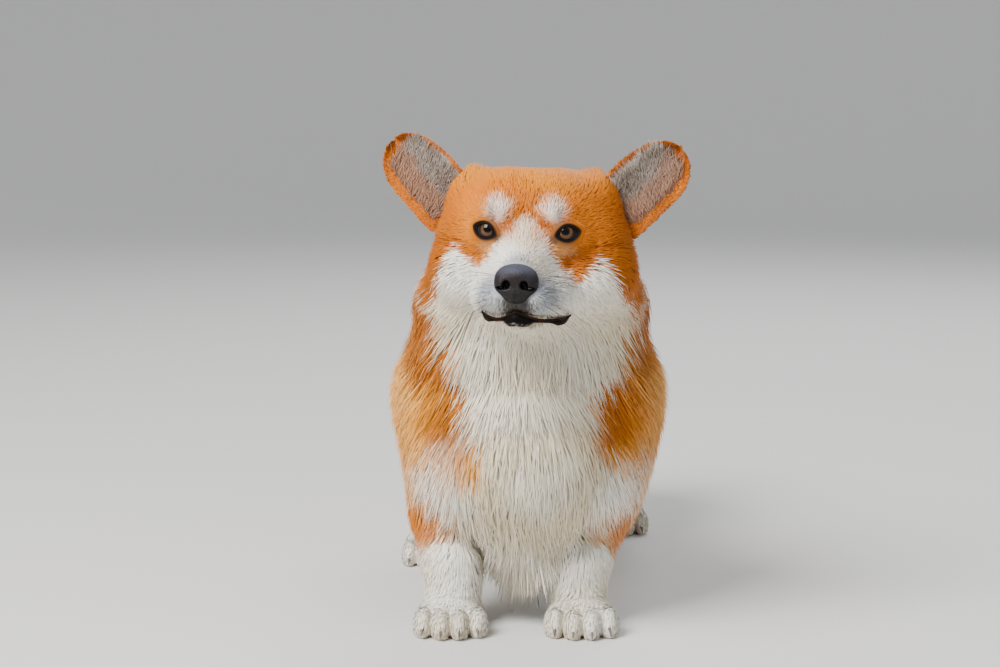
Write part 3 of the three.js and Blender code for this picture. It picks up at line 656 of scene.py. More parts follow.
def net(field, low, high, cell):
    """Points and quads over a field's surface: one point in each cell that it crosses."""
    low, high = np.array(low, float), np.array(high, float)
    count = np.ceil((high - low) / cell).astype(int) + 1
    value = sampled(field, low, cell, count)
    total = int(np.prod(count))
    sums = np.zeros((3, total))
    hits = np.zeros(total)
    crossings = []
    for axis in range(3):
        step = np.eye(3, dtype=int)
        here = np.take(value, range(count[axis] - 1), axis=axis)
        there = np.take(value, range(1, count[axis]), axis=axis)
        at = np.argwhere((here < 0) != (there < 0))
        a, b = here[tuple(at.T)], there[tuple(at.T)]
        point = low + cell * (at + (a / (a - b))[:, None] * step[axis])
        u, v = step[(axis + 1) % 3], step[(axis + 2) % 3]
        around = [at, at - u, at - u - v, at - v]
        flat_ids = [np.ravel_multi_index(cells.T, count) for cells in around]
        for ids in flat_ids:
            hits += np.bincount(ids, minlength=total)
            for i in range(3):
                sums[i] += np.bincount(ids, weights=point[:, i], minlength=total)
        crossings.append((np.stack(flat_ids, axis=1), a < 0))
    used = hits > 0
    number = np.cumsum(used) - 1
    points = (sums[:, used] / hits[used]).T
    quads = [np.where(out[:, None], ids, ids[:, ::-1]) for ids, out in crossings]
    return points, number[np.concatenate(quads)]


def mesh_object(name, points, faces, material, colours=None, uvs=None, normals=None):
    """An object from points in the dog's frame and faces of equal length."""
    mesh = bpy.data.meshes.new(name)
    sides = faces.shape[1]
    mesh.vertices.add(len(points))
    mesh.vertices.foreach_set("co", placed(points).astype(np.float32).ravel())
    mesh.loops.add(faces.size)
    mesh.loops.foreach_set("vertex_index", faces.astype(np.int32).ravel())
    mesh.polygons.add(len(faces))
    mesh.polygons.foreach_set("loop_start", np.arange(0, faces.size, sides, dtype=np.int32))
    mesh.update(calc_edges=True)
    mesh.polygons.foreach_set("use_smooth", np.ones(len(faces), bool))
    if colours is not None:
        layer = mesh.color_attributes.new("coat", "FLOAT_COLOR", "POINT")
        layer.data.foreach_set("color", with_alpha(colours).astype(np.float32).ravel())
    if uvs is not None:
        layer = mesh.uv_layers.new(name="OFBake")
        layer.data.foreach_set("uv", uvs[faces.ravel()].astype(np.float32).ravel())
    if normals is not None:
        mesh.normals_split_custom_set_from_vertices(normals.astype(np.float32))
    mesh.materials.append(material)
    obj = bpy.data.objects.new(name, mesh)
    bpy.context.collection.objects.link(obj)
    return obj


def with_alpha(colours):
    return np.concatenate([colours, np.ones((len(colours), 1))], axis=1)


def finished(obj, slot, *nodes):
    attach(obj, "root")
    if nodes:
        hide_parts(*nodes)


def filled(colour, points):
    return np.broadcast_to(colour, points.shape).copy()


def band_quads(rows, columns, closed=False):
    """Quads of a grid whose rows are closed rings, and whose last row meets its first when closed."""
    i, j = np.meshgrid(np.arange(rows if closed else rows - 1), np.arange(columns), indexing="ij")
    here, ahead = i * columns, (i + 1) % rows * columns
    beside = (j + 1) % columns
    return np.stack([here + j, here + beside, ahead + beside, ahead + j], axis=-1).reshape(-1, 4)


INSIDE_OUT = [0, 3, 2, 1]  # a quad's corners, the other way round


# Materials

def new_material(name, roughness, colour=(0.8, 0.8, 0.8)):
    material = bpy.data.materials.new(name)
    material.use_nodes = True
    shader = material.node_tree.nodes["Principled BSDF"]
    shader.inputs["Base Color"].default_value = (*colour, 1)
    shader.inputs["Roughness"].default_value = roughness
    return material, shader


def painted(name, roughness, specular=0.5, sheen=0.0):
    """A material that takes its colour from the markings."""
    material, shader = new_material(name, roughness)
    shader.inputs["Specular IOR Level"].default_value = specular
    attribute = material.node_tree.nodes.new("ShaderNodeAttribute")
    attribute.attribute_name = "coat"
    material.node_tree.links.new(attribute.outputs["Color"], shader.inputs["Base Color"])
    shader.inputs["Sheen Weight"].default_value = sheen
    shader.inputs["Sheen Roughness"].default_value = 0.5
    return material, shader


def add_bump(material, shader, scale, strength, distance, kind="ShaderNodeTexNoise"):
    nodes, link = material.node_tree.nodes, material.node_tree.links.new
    coordinates = nodes.new("ShaderNodeTexCoord")
    texture = nodes.new(kind)
    texture.inputs["Scale"].default_value = scale
    bump = nodes.new("ShaderNodeBump")
    bump.inputs["Strength"].default_value = strength
    bump.inputs["Distance"].default_value = distance
    link(coordinates.outputs["Object"], texture.inputs["Vector"])
    link(texture.outputs[0], bump.inputs["Height"])
    link(bump.outputs["Normal"], shader.inputs["Normal"])


coat_material, _ = painted("coat", 0.6, 0.12, 0.02)
skin_material, skin_shader = painted("skin", 0.8)
add_bump(skin_material, skin_shader, 900, 0.5, 0.0008)
nose_material, nose_shader = painted("nose leather", 0.46, 0.22)
add_bump(nose_material, nose_shader, 1100, 0.55, 0.0005, "ShaderNodeTexVoronoi")
eye_material, eye_shader = painted("eye", 0.06, 0.0)
eye_shader.inputs["Coat Weight"].default_value = 0.4
eye_shader.inputs["Coat Roughness"].default_value = 0.02
lip_material, _ = painted("lip", 0.6, 0.06)
claw_material, _ = new_material("claw", 0.4, (0.13, 0.095, 0.075))


# Markings: the same function colours the skin and the coat

ORANGE = np.array([0.62, 0.165, 0.005])
DEEP_ORANGE = np.array([0.30, 0.066, 0.002])
GOLD = np.array([0.90, 0.38, 0.03])
PEACH = np.array([0.82, 0.50, 0.22])
CREAM = np.array([0.72, 0.61, 0.42])
WHITE = np.array([0.88, 0.85, 0.77])
# the keel hair's dull beige, darkened further with painted shade for the underside of the chest
SHADED_BEIGE = np.array([0.34, 0.27, 0.175])
SLATE = np.array([0.20, 0.20, 0.22])
BROWN = np.array([0.13, 0.075, 0.045])
BLACK = np.array([0.007, 0.005, 0.0045])
EAR_PINK = np.array([0.19, 0.10, 0.08])
EAR_HAIR = np.array([0.28, 0.225, 0.185])
BLUE_GREY = np.array([0.20, 0.235, 0.29])
NOSE_SKIN = np.array([0.018, 0.012, 0.013])
WHISKER = np.array([0.06, 0.05, 0.045])

# Where the face's orange ends below, over x in the head's frame
FACE_EDGE = through(
    [
        (-96, -110), (-78, -64), (-66, -24), (-54, -7), (-46, -15), (-37, -22),
        (-29, -14), (-21, -2), (-12, 8), (-4, 17), (0, 21), (4, 17),
        (13, 8), (20, -4), (27, -17), (36, -27), (44, -30), (52, -21),
        (59, -13), (70, -26), (83, -64), (100, -110),
    ]
)
# Where the bib's white ends to each side, over z: distance from the chest's middle
BIB_EDGE = {
    -1: through([(100, 92), (135, 62), (150, 42), (185, 40), (212, 47), (237, 61), (262, 71), (300, 84)]),
    1: through([(100, 96), (150, 74), (173, 48), (185, 42), (208, 50), (235, 66), (262, 80), (300, 90)]),
}


def spot(p, centre, radii, softness=0.3):
    reach = np.linalg.norm((p - np.array(centre, float)) / np.array(radii, float), axis=1)
    return 1 - smooth(reach, 1 - softness, 1 + softness)


def over(colour, paint, share):
    return colour + (paint - colour) * np.clip(share, 0, 1)[:, None]


def dab(colour, p, paint, share, centre, radii, softness):
    return over(colour, paint, share * spot(p, centre, radii, softness))


def face_colour(q, p):
    x, y, z = q.T
    wander = 2.2 * ripple(p, 7.0) + 1.2 * ripple(p, 3.0, 1.0)
    edge = smooth(z - FACE_EDGE(x) + wander, -4, 4)
    behind = smooth(y + 0.35 * z, -14, 6) * smooth(np.abs(x), 40, 60)
    muzzle = fall(y, -74, -60)
    orange = np.maximum(edge, behind) * (1 - muzzle)
    colour = filled(WHITE, p)
    lower = fall(z, -64, -34)
    colour = over(colour, CREAM, 0.6 * lower + 0.3 * smooth(np.abs(x), 40, 70))
    blush = spot(q, (0, -56, 8), (17, 26, 17), 0.6)
    flush = spot(q, (15, -80, -14), (13, 22, 16), 0.6) * (0.7 + 0.3 * ripple(p, 2.4))
    colour = over(colour, PEACH * 0.8, 0.55 * blush + 0.35 * flush)
    coat = filled(ORANGE, p)
    crown = smooth(z, 34, 56)
    coat = over(coat, GOLD, 0.04 + 0.1 * ripple(p, 17.0, 0.5) + 0.3 * crown)
    forehead = spot(q, (0, -40, 22), (34, 30, 18), 0.6)
    coat = over(coat, DEEP_ORANGE, 0.45 * forehead * (0.8 + 0.4 * ripple(p * (1, 1, 0.4), 5.0)))
    # painted shade: the sides of the head are darkened towards the temples and the ears' roots
    temple = smooth(np.abs(x), 44, 66) * fall(z, 10, 46)
    coat = over(coat, DEEP_ORANGE, 0.55 * temple)
    for side, _ in SIDES:
        # the lobe below the eye, painted shade in the crease behind it, and the edge beside the blaze
        coat = dab(coat, q, DEEP_ORANGE, 0.6 + 0.2 * side, (side * 40, -36, -13), (19, 22, 11), 0.5)
        coat = dab(coat, q, DEEP_ORANGE * 0.55, 0.8, (side * 56, -20, -2), (16, 20, 2.6), 0.7)
        coat = dab(coat, q, DEEP_ORANGE, 0.6, (side * 14, -48, 10), (5, 14, 10), 0.5)
    colour = over(colour, coat, orange)
    q_wandering = q + wander[:, None] * 0.6
    ticking = smooth(0.72 + 0.28 * ripple(p, 1.6, 2.0), 0.7, 1)
    for side, _ in SIDES:
        # the bridge's side, the brow's white patch and the grey streak through it
        colour = dab(colour, q, DEEP_ORANGE * 1.5, 0.5, (side * 12.5, -52, 9), (7, 18, 12), 0.6)
        colour = dab(colour, q_wandering, WHITE, 0.72, (side * 22, -48, 25), (9, 22, 8.5), 0.7)
        colour = dab(colour, q, SLATE * 0.7, 0.75, (side * 26.5, -50, 22), (3.4, 12, 7), 0.6)
        # below the eye, round it and at its inner corner
        eye = eye_centre(side)
        colour = dab(colour, q, PEACH, 0.4, eye + (side * -2, -8, -13), (10, 12, 6), 0.5)
        colour = dab(colour, q, BROWN, 0.6, eye + (0, -9, 0), (11.5, 9, 9.5), 0.25)
        colour = dab(colour, q, BROWN, 0.85, eye + (side * -9, -9, -6), (4.5, 9, 3.6), 0.4)
        flew = spot(q, (side * 19, -86, -41), (14, 20, 15), 0.6)
        colour = over(colour, BLUE_GREY, 0.85 * flew)
        colour = over(colour, SLATE, (0.5 + 0.2 * side) * flew * ticking)
    # above the nose, round it and below it
    colour = dab(colour, q, SLATE, 0.5, (0, -88, -13), (10, 9, 6), 0.5)
    colour = dab(colour, q, BLUE_GREY, 0.5, NOSE_CENTRE, (21, 18, 21), 0.25)
    colour = dab(colour, q, NOSE_SKIN, 0.9, NOSE_CENTRE + (1, 4, -19), (13, 24, 12), 0.35)
    from_mouth = np.maximum(z - lip_top(x), lip_bottom(x) - z) + 60 * np.maximum(along_lip(x) - 1, 0)
    from_mouth = from_mouth + 1.5 * ripple(p, 2.2)
    mouth = fall(from_mouth, 0.5, 6) * fall(y, -50, -30)
    return over(colour, BROWN * 0.7, 0.85 * mouth)


# The bib's white reaches over the upper arms: centre, radii and strength
WHITE_ARMS = [
    ((-47, 0, 172), (17, 60, 15), 0.7),
    ((-54, -8, 140), (31, 52, 25), 1.15),
    ((96, 0, 158), (20, 50, 13), 0.5),
    ((78, -8, 132), (28, 52, 26), 1.15),
]


def body_colour(p):
    x, y, z = p.T
    wander = 5 * ripple(p, 18.0) + 2.5 * ripple(p, 7.0, 2.0)
    out = np.abs(x - CHEST_X)
    left = x > CHEST_X
    bib = np.where(left, BIB_EDGE[1](z), BIB_EDGE[-1](z))
    beside = smooth(out - bib + wander, -7, 7)
    behind = smooth(y + wander + 78 * smooth(z, 225, 275), 38, 62)
    orange = np.maximum(beside, behind)
    colour = over(filled(CREAM, p), WHITE, 0.22 + 0.3 * ripple(p, 30.0))
    # painted shade under the chest and between the forelegs, over the hanging hair's duller beige
    colour = over(colour, SHADED_BEIGE, 0.8 * fall(z, 46, 105) * fall(out, 36, 58))
    coat = filled(ORANGE, p)
    coat = over(coat, GOLD, 0.5 + 0.3 * ripple(p, 26.0, 1.0))
    shoulder = smooth(out, 74, 96) * fall(y, 40, 90) * fall(z, 240, 280)
    coat = over(coat, PEACH, 0.55 * shoulder * (0.7 + 0.3 * ripple(p * (1, 1, 0.3), 4.0)))
    border = fall(np.abs(out - bib - 14), 4, 26)
    border = border * fall(y, 10, 60) * smooth(z, 150, 200)
    coat = over(coat, DEEP_ORANGE, 0.75 * border)
    saddle = smooth(y, 90, 140) * smooth(z, 190, 240)
    coat = over(coat, DEEP_ORANGE, 0.45 * saddle)
    colour = over(colour, coat, orange)
    streaks = 0.75 + 0.25 * ripple(p * (1, 1, 0.3), 3.0)
    for centre, radii, strength in WHITE_ARMS:
        colour = dab(colour, p, WHITE, strength * streaks, centre, radii, 0.4)
    for side, _ in SIDES:
        colour = dab(colour, p, ORANGE, 0.9, (5 + side * 77, 16, 99), (27, 46, 23), 0.35)
    belly = fall(z, 92, 112) * smooth(y, 60, 110) * fall(out, 52, 74)
    return over(colour, WHITE, 0.8 * belly)


def leg_colour(p, whole):
    """Below the elbow and the hock the legs are white, with darker hair between the toes."""
    z = p[:, 2]
    top = np.where(p[:, 1] > 150, 92, 78) + 5 * ripple(p, 14.0)
    sock = over(filled(WHITE, p), CREAM, 0.3 + 0.25 * ripple(p, 20.0, 1.0))
    colour = over(whole, sock, fall(z, top - 6, top + 6))
    fringe = fall(z, 3, 15) * (0.5 + 0.5 * ripple(p * (1, 0.2, 0.2), 2.4))
    return over(colour, PEACH * 0.5, 0.35 * fringe)


def markings(p):
    levels = levels_of(p)
    body = leg_colour(p, body_colour(p))
    breech = smooth(p[:, 1], HIP_Y + 34, HIP_Y + 80) * fall(p[:, 2], 150, 200)
    body = over(body, PEACH, 0.5 * breech)
    head_nearness = np.exp(-(levels[HEAD_REGION] - np.min(levels, axis=0)) / 5)
    return over(body, face_colour(to_head(p), p), smooth(head_nearness, 0.25, 0.75))


# Ears: a cupped leaf with a rounded tip, whose edges come forward

EAR_LENGTH, EAR_HALF_WIDTH, EAR_CUP, EAR_THICKNESS, EAR_SUNK = 73, 27.0, 15, 3.0, 22
EAR_ROWS, EAR_COLUMNS = 40, 22  # of points: from base to tip, and across one face
EAR_CROWDING = 0.85  # below 1, rows lie closer towards the tip


class Ear:
    def __init__(self, side):
        self.side = side
        self.up = unit(np.array([side * 0.68, 0.1, 0.73]))
        facing = np.array([side * 0.2, -0.97, 0.05])
        self.outward = unit(np.cross(facing, self.up) * side)
        self.back = unit(np.cross(self.outward, self.up) * side)
        self.base = np.array([side * 66.5, 12, 24])

    def at(self, t, v, face):
        """From base to tip, from the inner to the outer edge, and from the front to the back."""
        t, v, face = np.broadcast_arrays(np.asarray(t, float), v, face)
        rounding = np.maximum(0, (t - 0.5) / 0.5) ** 2.4
        width = EAR_HALF_WIDTH * np.sqrt(np.maximum(0, 1 - rounding)) * (0.96 + 0.04 * t)
        width = width * (1 - 0.4 * np.maximum(v, 0) * fall(t, 0.02, 0.36))
        hollow = EAR_CUP * (1 - v * v) * (1 - 0.5 * t)
        lengthwise = t * (EAR_LENGTH + EAR_SUNK) - EAR_SUNK - 17 * v * (1 - t)
        thickness = EAR_THICKNESS * (1 - 0.6 * np.abs(v) ** 3)
        depth = hollow - EAR_CUP * 0.5 + face * thickness / 2
        return (
            self.base
            + lengthwise[..., None] * self.up
            + (v * width)[..., None] * self.outward
            + depth[..., None] * self.back
        )

    def skin(self):
        t = (np.linspace(0, 1, EAR_ROWS) ** EAR_CROWDING * 0.998)[:, None]
        v = np.linspace(-1, 1, EAR_COLUMNS)[None, :]
        front, back = self.at(t, v, -1), self.at(t, v[:, ::-1], 1)
        points = np.concatenate([front, back], axis=1).reshape(-1, 3)
        quads = band_quads(EAR_ROWS, 2 * EAR_COLUMNS)
        return points, quads[:, ::-1] if self.side > 0 else quads


def ear_colour(v, t, face, q):
    """Orange on the back and along the rim, grey-beige hair inside and pink skin low down."""
    p = from_head(q)
    colour = over(filled(ORANGE, q), DEEP_ORANGE, 0.4 + 0.3 * ripple(p, 12.0))
    reach = np.hypot((v - 0.24) / 0.64, (t - 0.5) / 0.42) + 0.06 * ripple(p, 6.0)
    inside = fall(reach, 0.88, 1.08) * (face < 0)
    lining = over(filled(EAR_HAIR, q), WHITE, 0.2 + 0.2 * ripple(p, 5.0))
    low = fall(t, 0.3, 0.66) * fall(np.abs(v), 0.15, 0.55)
    lining = over(lining, EAR_PINK, 0.85 * low)
    return over(colour, lining, inside)


# Skin: one net over the body, with the ears' leaves sunk into it

SKIN_CELL = 3.2
SKIN_LOW, SKIN_HIGH = (-120, -182, -24), (142, 470, 402)
SKIN_SHADE = 0.85  # painted shade: the skin under the hair is this much darker than the hair
LOWEST_SKIN = 0.4  # over the floor
body_points, body_quads = net(skin_field, SKIN_LOW, SKIN_HIGH, SKIN_CELL)
body_points = settle(skin_field, body_points, 0, 2)
body_points[:, 2] = np.maximum(body_points[:, 2], LOWEST_SKIN)
ears = {side: Ear(side) for side, _ in SIDES}
skin_points, skin_quads = [body_points], [body_quads]
for side, _ in SIDES:
    points, quads = ears[side].skin()
    skin_quads.append(quads + sum(len(part) for part in skin_points))
    skin_points.append(from_head(points))
skin_points, skin_quads = np.concatenate(skin_points), np.concatenate(skin_quads)


def skin_colours():
    colours = markings(skin_points)
    t = (np.linspace(0, 1, EAR_ROWS) ** EAR_CROWDING)[:, None]
    across = np.linspace(-1, 1, EAR_COLUMNS)
    v = np.concatenate([across, -across])[None, :]
    face = np.repeat([-1.0, 1.0], EAR_COLUMNS)[None, :]
    t, v, face = (part.ravel() for part in np.broadcast_arrays(t, v, face))
    start = len(body_points)
    for side, _ in SIDES:
        rows = slice(start, start + len(t))
        colours[rows] = ear_colour(v, t, face, to_head(skin_points[rows]))
        start += len(t)
    return colours


skin = mesh_object("skin", skin_points, skin_quads, skin_material, skin_colours() * SKIN_SHADE)
skin.data.uv_layers.new(name="OFBake")
bpy.context.view_layer.objects.active = skin
skin.select_set(True)
bpy.ops.object.mode_set(mode="EDIT")
bpy.ops.mesh.select_all(action="SELECT")
bpy.ops.uv.smart_project(angle_limit=math.radians(75), island_margin=0.001)
bpy.ops.object.mode_set(mode="OBJECT")
skin.select_set(False)

skin_uv = np.zeros(len(skin.data.loops) * 2)
skin.data.uv_layers["OFBake"].data.foreach_get("uv", skin_uv)
face_uv = skin_uv.reshape(-1, 4, 2).mean(axis=1)


# Tufts: closed, three-sided and tapered, from the skin out to the coat's surface

TUFT_SHARES = {3: (0.75, 1.0), 4: (0.7, 1.0, 0.72)}  # each ring's width, by the points along a tuft
PATCH = 0.003  # how wide a tuft's patch of the map is
ROOT_SUNK = 0.8  # how far a root lies under the skin
EYE_BARE, NOSE_BARE, SOLE_BARE = 2.6, 15.5, 2.5  # no hair grows this near
LOWEST_HAIR = 0.6  # over the floor
ROOT_SHADE, TIP_TINT = 0.86, 1.06  # the root darkened by painted shade, and the tip lighter


def tuft_object(name, paths, ups, widths, colours, uvs, soft=True):
    """paths is (tufts, points, 3) from root to tip, and ups the way out of the body at each point."""
    count, length, _ = paths.shape
    shares = TUFT_SHARES[length]
    rings = length - 1
    points = np.zeros((count, rings * 3 + 1, 3))
    tints = np.zeros((count, rings * 3 + 1, 3))
    patches = np.zeros((count, rings * 3 + 1, 2))
    normals = np.zeros((count, rings * 3 + 1, 3))
    for ring in range(rings):
        ahead = unit(paths[:, ring + 1] - paths[:, max(ring - 1, 0)])
        across = unit(np.cross(ahead, ups[:, ring]))
        top = np.cross(across, ahead)
        half = (widths * shares[ring] / 2)[:, None]
        place = ring / rings
        tint = ROOT_SHADE + (1 - ROOT_SHADE) * min(1, 1.6 * place)
        for corner, (aside, height) in enumerate(((-1, -0.3), (0, 0.45), (1, -0.3))):
            i = ring * 3 + corner
            points[:, i] = paths[:, ring] + across * aside * half + top * height * half
            tints[:, i] = colours * tint
            normals[:, i] = unit(ups[:, ring] + 0.55 * aside * across + 0.3 * top)
            patches[:, i] = uvs + PATCH * np.array([corner / 2 - 0.5, place - 0.5])
    points[:, -1] = paths[:, -1]
    tints[:, -1] = colours * TIP_TINT
    normals[:, -1] = ups[:, -1]
    patches[:, -1] = uvs + PATCH * np.array([0, 0.5])
    tris = [(0, 2, 1)]
    for ring in range(rings - 1):
        for side in range(3):
            a, b = ring * 3 + side, ring * 3 + (side + 1) % 3
            tris += [(a, b, a + 3), (b, b + 3, a + 3)]
    for side in range(3):
        a, b = (rings - 1) * 3 + side, (rings - 1) * 3 + (side + 1) % 3
        tris.append((a, b, rings * 3))
    faces = np.array(tris)[None] + np.arange(count)[:, None, None] * (rings * 3 + 1)
    return mesh_object(
        name,
        points.reshape(-1, 3),
        faces.reshape(-1, 3),
        coat_material,
        np.clip(tints.reshape(-1, 3), 0, 1),
        patches.reshape(-1, 2),
        normals.reshape(-1, 3) if soft else None,
    )


def sown(spacing_of, points, quads):
    """Seeded roots spread over the skin's faces: their faces and places."""
    corners = points[quads]
    middle = corners.mean(axis=1)
    sides = np.cross(corners[:, 2] - corners[:, 0], corners[:, 3] - corners[:, 1])
    area = 0.5 * np.linalg.norm(sides, axis=1)
    weight = np.cumsum(area / spacing_of(middle) ** 2)
    total = int(weight[-1])
    draws = (np.arange(total) + rng.random(total)) * weight[-1] / total
    face = np.searchsorted(weight, draws)
    face = np.minimum(face, len(quads) - 1)
    s, t = rng.random((2, total, 1))
    c = corners[face]
    place = (c[:, 0] * (1 - s) + c[:, 1] * s) * (1 - t) + (c[:, 3] * (1 - s) + c[:, 2] * s) * t
    return face, place


def spacing_of(p):
    """How far apart the tufts' roots are: closer on the face and the chest."""
    levels = levels_of(p)
    spacing = mix(levels, [region.spacing for region in REGIONS])
    q = to_head(p)
    face = fall(q[:, 1], -40, 10) * (levels[HEAD_REGION] < HEAD_NEAR)
    chest = front_share(p) * smooth(p[:, 2], 40, 80) * (levels[HEAD_REGION] > HEAD_NEAR)
    return spacing * (1 - 0.2 * face) * (1 - 0.24 * chest)


def near_eye(q):
    """How far outside the eyes' openings, about in mm."""
    nearest = np.full(len(q), 1e9)
    for side, _ in SIDES:
        across, out, up = eye_frame(side, q).T
        beyond = (almond_reach(across, up) - 1) * OPENING_UP
        nearest = np.minimum(nearest, beyond + np.where(out > 2, 0, 50))
    return nearest


def in_mouth(q):
    x, y, z = q.T
    near = (np.abs(z + 57) < 16) & (y < -30) & (along_lip(x) < 1)
    inside = near & (z < lip_top(x) + 0.5) & (z > lip_bottom(x) - 1.5)
    inside[inside] = y[inside] < lip_front(x[inside]) + 14
    return inside


def near_nose(q):
    return np.linalg.norm((q - NOSE_CENTRE) / (1.12, 1.0, 1.0), axis=1)


def combed(roots, steps, lie, lengths, depths, rises, loose):
    """Centre lines that leave the skin, follow the lie and end at the coat's surface or above it."""
    p = settle(coat_field, roots, -depths, 1)
    paths, ups = [p], []
    bend = rng.normal(0, 0.11, (len(p), 1))
    for step in range(1, steps + 1):
        away, _ = slope(coat_field, p)
        ups.append(away)
        along = unit(lie - away * np.sum(lie * away, axis=1, keepdims=True))
        along = along + loose[:, None] * step / steps * (unit(lie) + 0.5 * away - along)
        along = unit(along + bend * np.cross(along, away))
        p = p + along * (lengths / steps)[:, None]
        out, level = slope(coat_field, p)
        rising = math.sin(step / steps * math.pi / 2) ** 1.1
        target = -depths + (depths + rises) * rising
        limit = 0.5 * lengths / steps * (1 - loose)
        p = p + out * np.clip(target - level, -limit, limit)[:, None]
        paths.append(p)
    ups.append(out)
    paths = np.stack(paths, axis=1)
    paths[:, :, 2] = np.maximum(paths[:, :, 2], LOWEST_HAIR)
    return paths, np.stack(ups, axis=1)


body_face, body_roots = sown(spacing_of, body_points, body_quads)
root_heads = to_head(body_roots)
bare = (near_eye(root_heads) < EYE_BARE) | (near_nose(root_heads) < NOSE_BARE)
bare |= in_mouth(root_heads) | (body_roots[:, 2] < SOLE_BARE)
body_face, body_roots = body_face[~bare], body_roots[~bare]
root_levels = levels_of(body_roots)
root_region = np.argmin(root_levels, axis=0)


def lie_of(p, levels):
    """The way the hair lies, with slow waves and small curls."""
    lies = [unit(region.lie(p)) for region in REGIONS]
    lie = sum(share[:, None] * way for share, way in zip(shares_of(levels), lies))
    waves = [ripple(p, 26.0, phase) for phase in (0.0, 1.7, 3.1)]
    curls = [ripple(p, 9.0, phase) for phase in (0.6, 2.2, 4.0)]
    return lie + 0.14 * np.stack(waves, axis=1) + 0.08 * np.stack(curls, axis=1)


MAX_TUFTS = {3: 19000, 4: 12000}  # in one piece, by the points along a tuft


def grow(region, index, steps):
    """The coat of the places where one region is nearest, in pieces from front to back."""
    mine = root_region == index
    roots, face = body_roots[mine], body_face[mine]
    levels = [level[mine] for level in root_levels]
    lie = lie_of(roots, levels) + rng.normal(0, 0.05, roots.shape)
    vary = rng.normal(1, 0.16, len(roots)).clip(0.55, 1.5)
    lengths = mix(levels, [each.length(roots) for each in REGIONS]) * vary
    depths = mix(levels, [each.depth(roots) for each in REGIONS]) + ROOT_SUNK
    widths = mix(levels, [each.width for each in REGIONS]) * (0.7 + 0.4 * vary)
    rises = mix(levels, [each.rise for each in REGIONS])
    rises = rises * rng.normal(0.3, 0.6, len(roots)).clip(-1, 1.6)
    loose = mix(levels, [each.loose(roots) for each in REGIONS])
    q = to_head(roots)
    fine = fall(near_eye(q), 2, 16)
    lengths, widths = lengths * (1 - 0.45 * fine), widths * (1 - 0.35 * fine)
    paths, ups = combed(roots, steps, lie, lengths, depths, rises, loose)
    tone = rng.normal(1, 0.06, (len(roots), 1)).clip(0.7, 1.3)
    middles = paths[:, len(paths[0]) // 2]
    blur = 1.8 + 2.2 * smooth(lengths, 14, 40)
    colours = markings(middles + rng.normal(0, 1, roots.shape) * blur[:, None]) * tone
    parts = math.ceil(len(roots) / MAX_TUFTS[steps + 1])
    order = np.argsort(roots[:, 1] + 0.3 * roots[:, 2], kind="stable")
    for part, rows in enumerate(np.array_split(order, parts)):
        name = f"coat_{region.name}" + (f"_{part + 1}" if parts > 1 else "")
        piece = tuft_object(
            name, paths[rows], ups[rows], widths[rows], colours[rows], face_uv[face[rows]]
        )
        pale = colours[rows][:, 2].mean() > 0.3
        finished(piece, "white_coat" if pale else "red_coat")


for index, region in enumerate(REGIONS):
    grow(region, index, 3 if region.name == "tail" else 2)


# Hair of the ears: short on the back and the rim, longer and loose inside

EAR_LAYERS = [
    # name, face, tufts, length, width, lift, v from, v to, t from, t to
    ("back", 1, 4600, 6.5, 1.1, 0.08, -1.0, 1.0, 0.0, 0.99),
    ("front", -1, 4400, 5.0, 0.95, 0.10, -1.0, 1.0, 0.0, 0.99),
    ("lining", -1, 2600, 15, 0.6, 0.26, -0.85, 0.5, 0.12, 0.86),
]


def grow_ear(side, side_name):
    """v runs across the ear from its inner to its outer edge, and t from its base to its tip."""
    ear = ears[side]
    for name, face, count, length, width, lift, v0, v1, t0, t1 in EAR_LAYERS:
        lining = name == "lining"
        v = v0 + (v1 - v0) * rng.random(count)
        t = t0 + (t1 - t0) * rng.random(count) ** 0.9
        root = ear.at(t, v, face)
        ahead = unit(ear.at(t + 0.02, v, face) - root)
        aside = unit(ear.at(t, np.clip(v + 0.03, -1.03, 1.03), face) - root + 1e-6)
        out = unit(np.cross(ahead, aside)) * (-side * face)
        spread = v[:, None] * 0.35 + rng.normal(0, 0.15, (count, 1))
        if lining:
            spread = 0.9 + rng.normal(0, 0.35, (count, 1))
        way = unit(ahead * (0.55 if lining else 1.0) + aside * spread)
        rim = np.maximum(smooth(t, 0.8, 1), smooth(np.abs(v), 0.75, 1))[:, None]
        lengths = length * rng.normal(1, 0.2, count).clip(0.5, 1.6)[:, None] * (1 - 0.45 * rim)
        middle = root + way * lengths * 0.5 + out * lengths * lift
        tip = root + way * lengths + out * lengths * lift * 0.8
        beyond = smooth(np.abs(v), 0.8, 1.0)[:, None]
        tip = tip + aside * np.sign(v)[:, None] * beyond * 1.5
        paths = from_head(np.stack([root - out * 0.8, middle, tip], axis=1))
        ups = np.repeat(head_way(out)[:, None], 3, axis=1)
        tone = rng.normal(1, 0.1, (count, 1)).clip(0.7, 1.3)
        colours = ear_colour(v, t, face + 0 * v, root) * tone
        if lining:
            colours = over(colours, EAR_HAIR * tone, 0 * v + 0.7)
        uvs = face_uv[ear_quads(side, t, v, face)]
        widths = width * rng.normal(1, 0.15, count).clip(0.6, 1.5)
        label = f"coat_ear_{side_name}_{name}"
        piece = tuft_object(label, paths, ups, widths, colours, uvs, soft=False)
        finished(piece, "white_coat" if lining else "red_coat")


def ear_quads(side, t, v, face):
    """The skin's quads at places on an ear."""
    row = np.clip((t ** (1 / EAR_CROWDING) * (EAR_ROWS - 1)).astype(int), 0, EAR_ROWS - 2)
    column = np.clip(((v + 1) / 2 * (EAR_COLUMNS - 1)).astype(int), 0, EAR_COLUMNS - 2)
    column = column if face < 0 else 2 * EAR_COLUMNS - 2 - column
    first = len(body_quads) + (0 if side > 0 else (EAR_ROWS - 1) * 2 * EAR_COLUMNS)
    return first + row * 2 * EAR_COLUMNS + column


for side, name in SIDES:
    grow_ear(side, name)


# Tubes for the lid rims, lips and whiskers

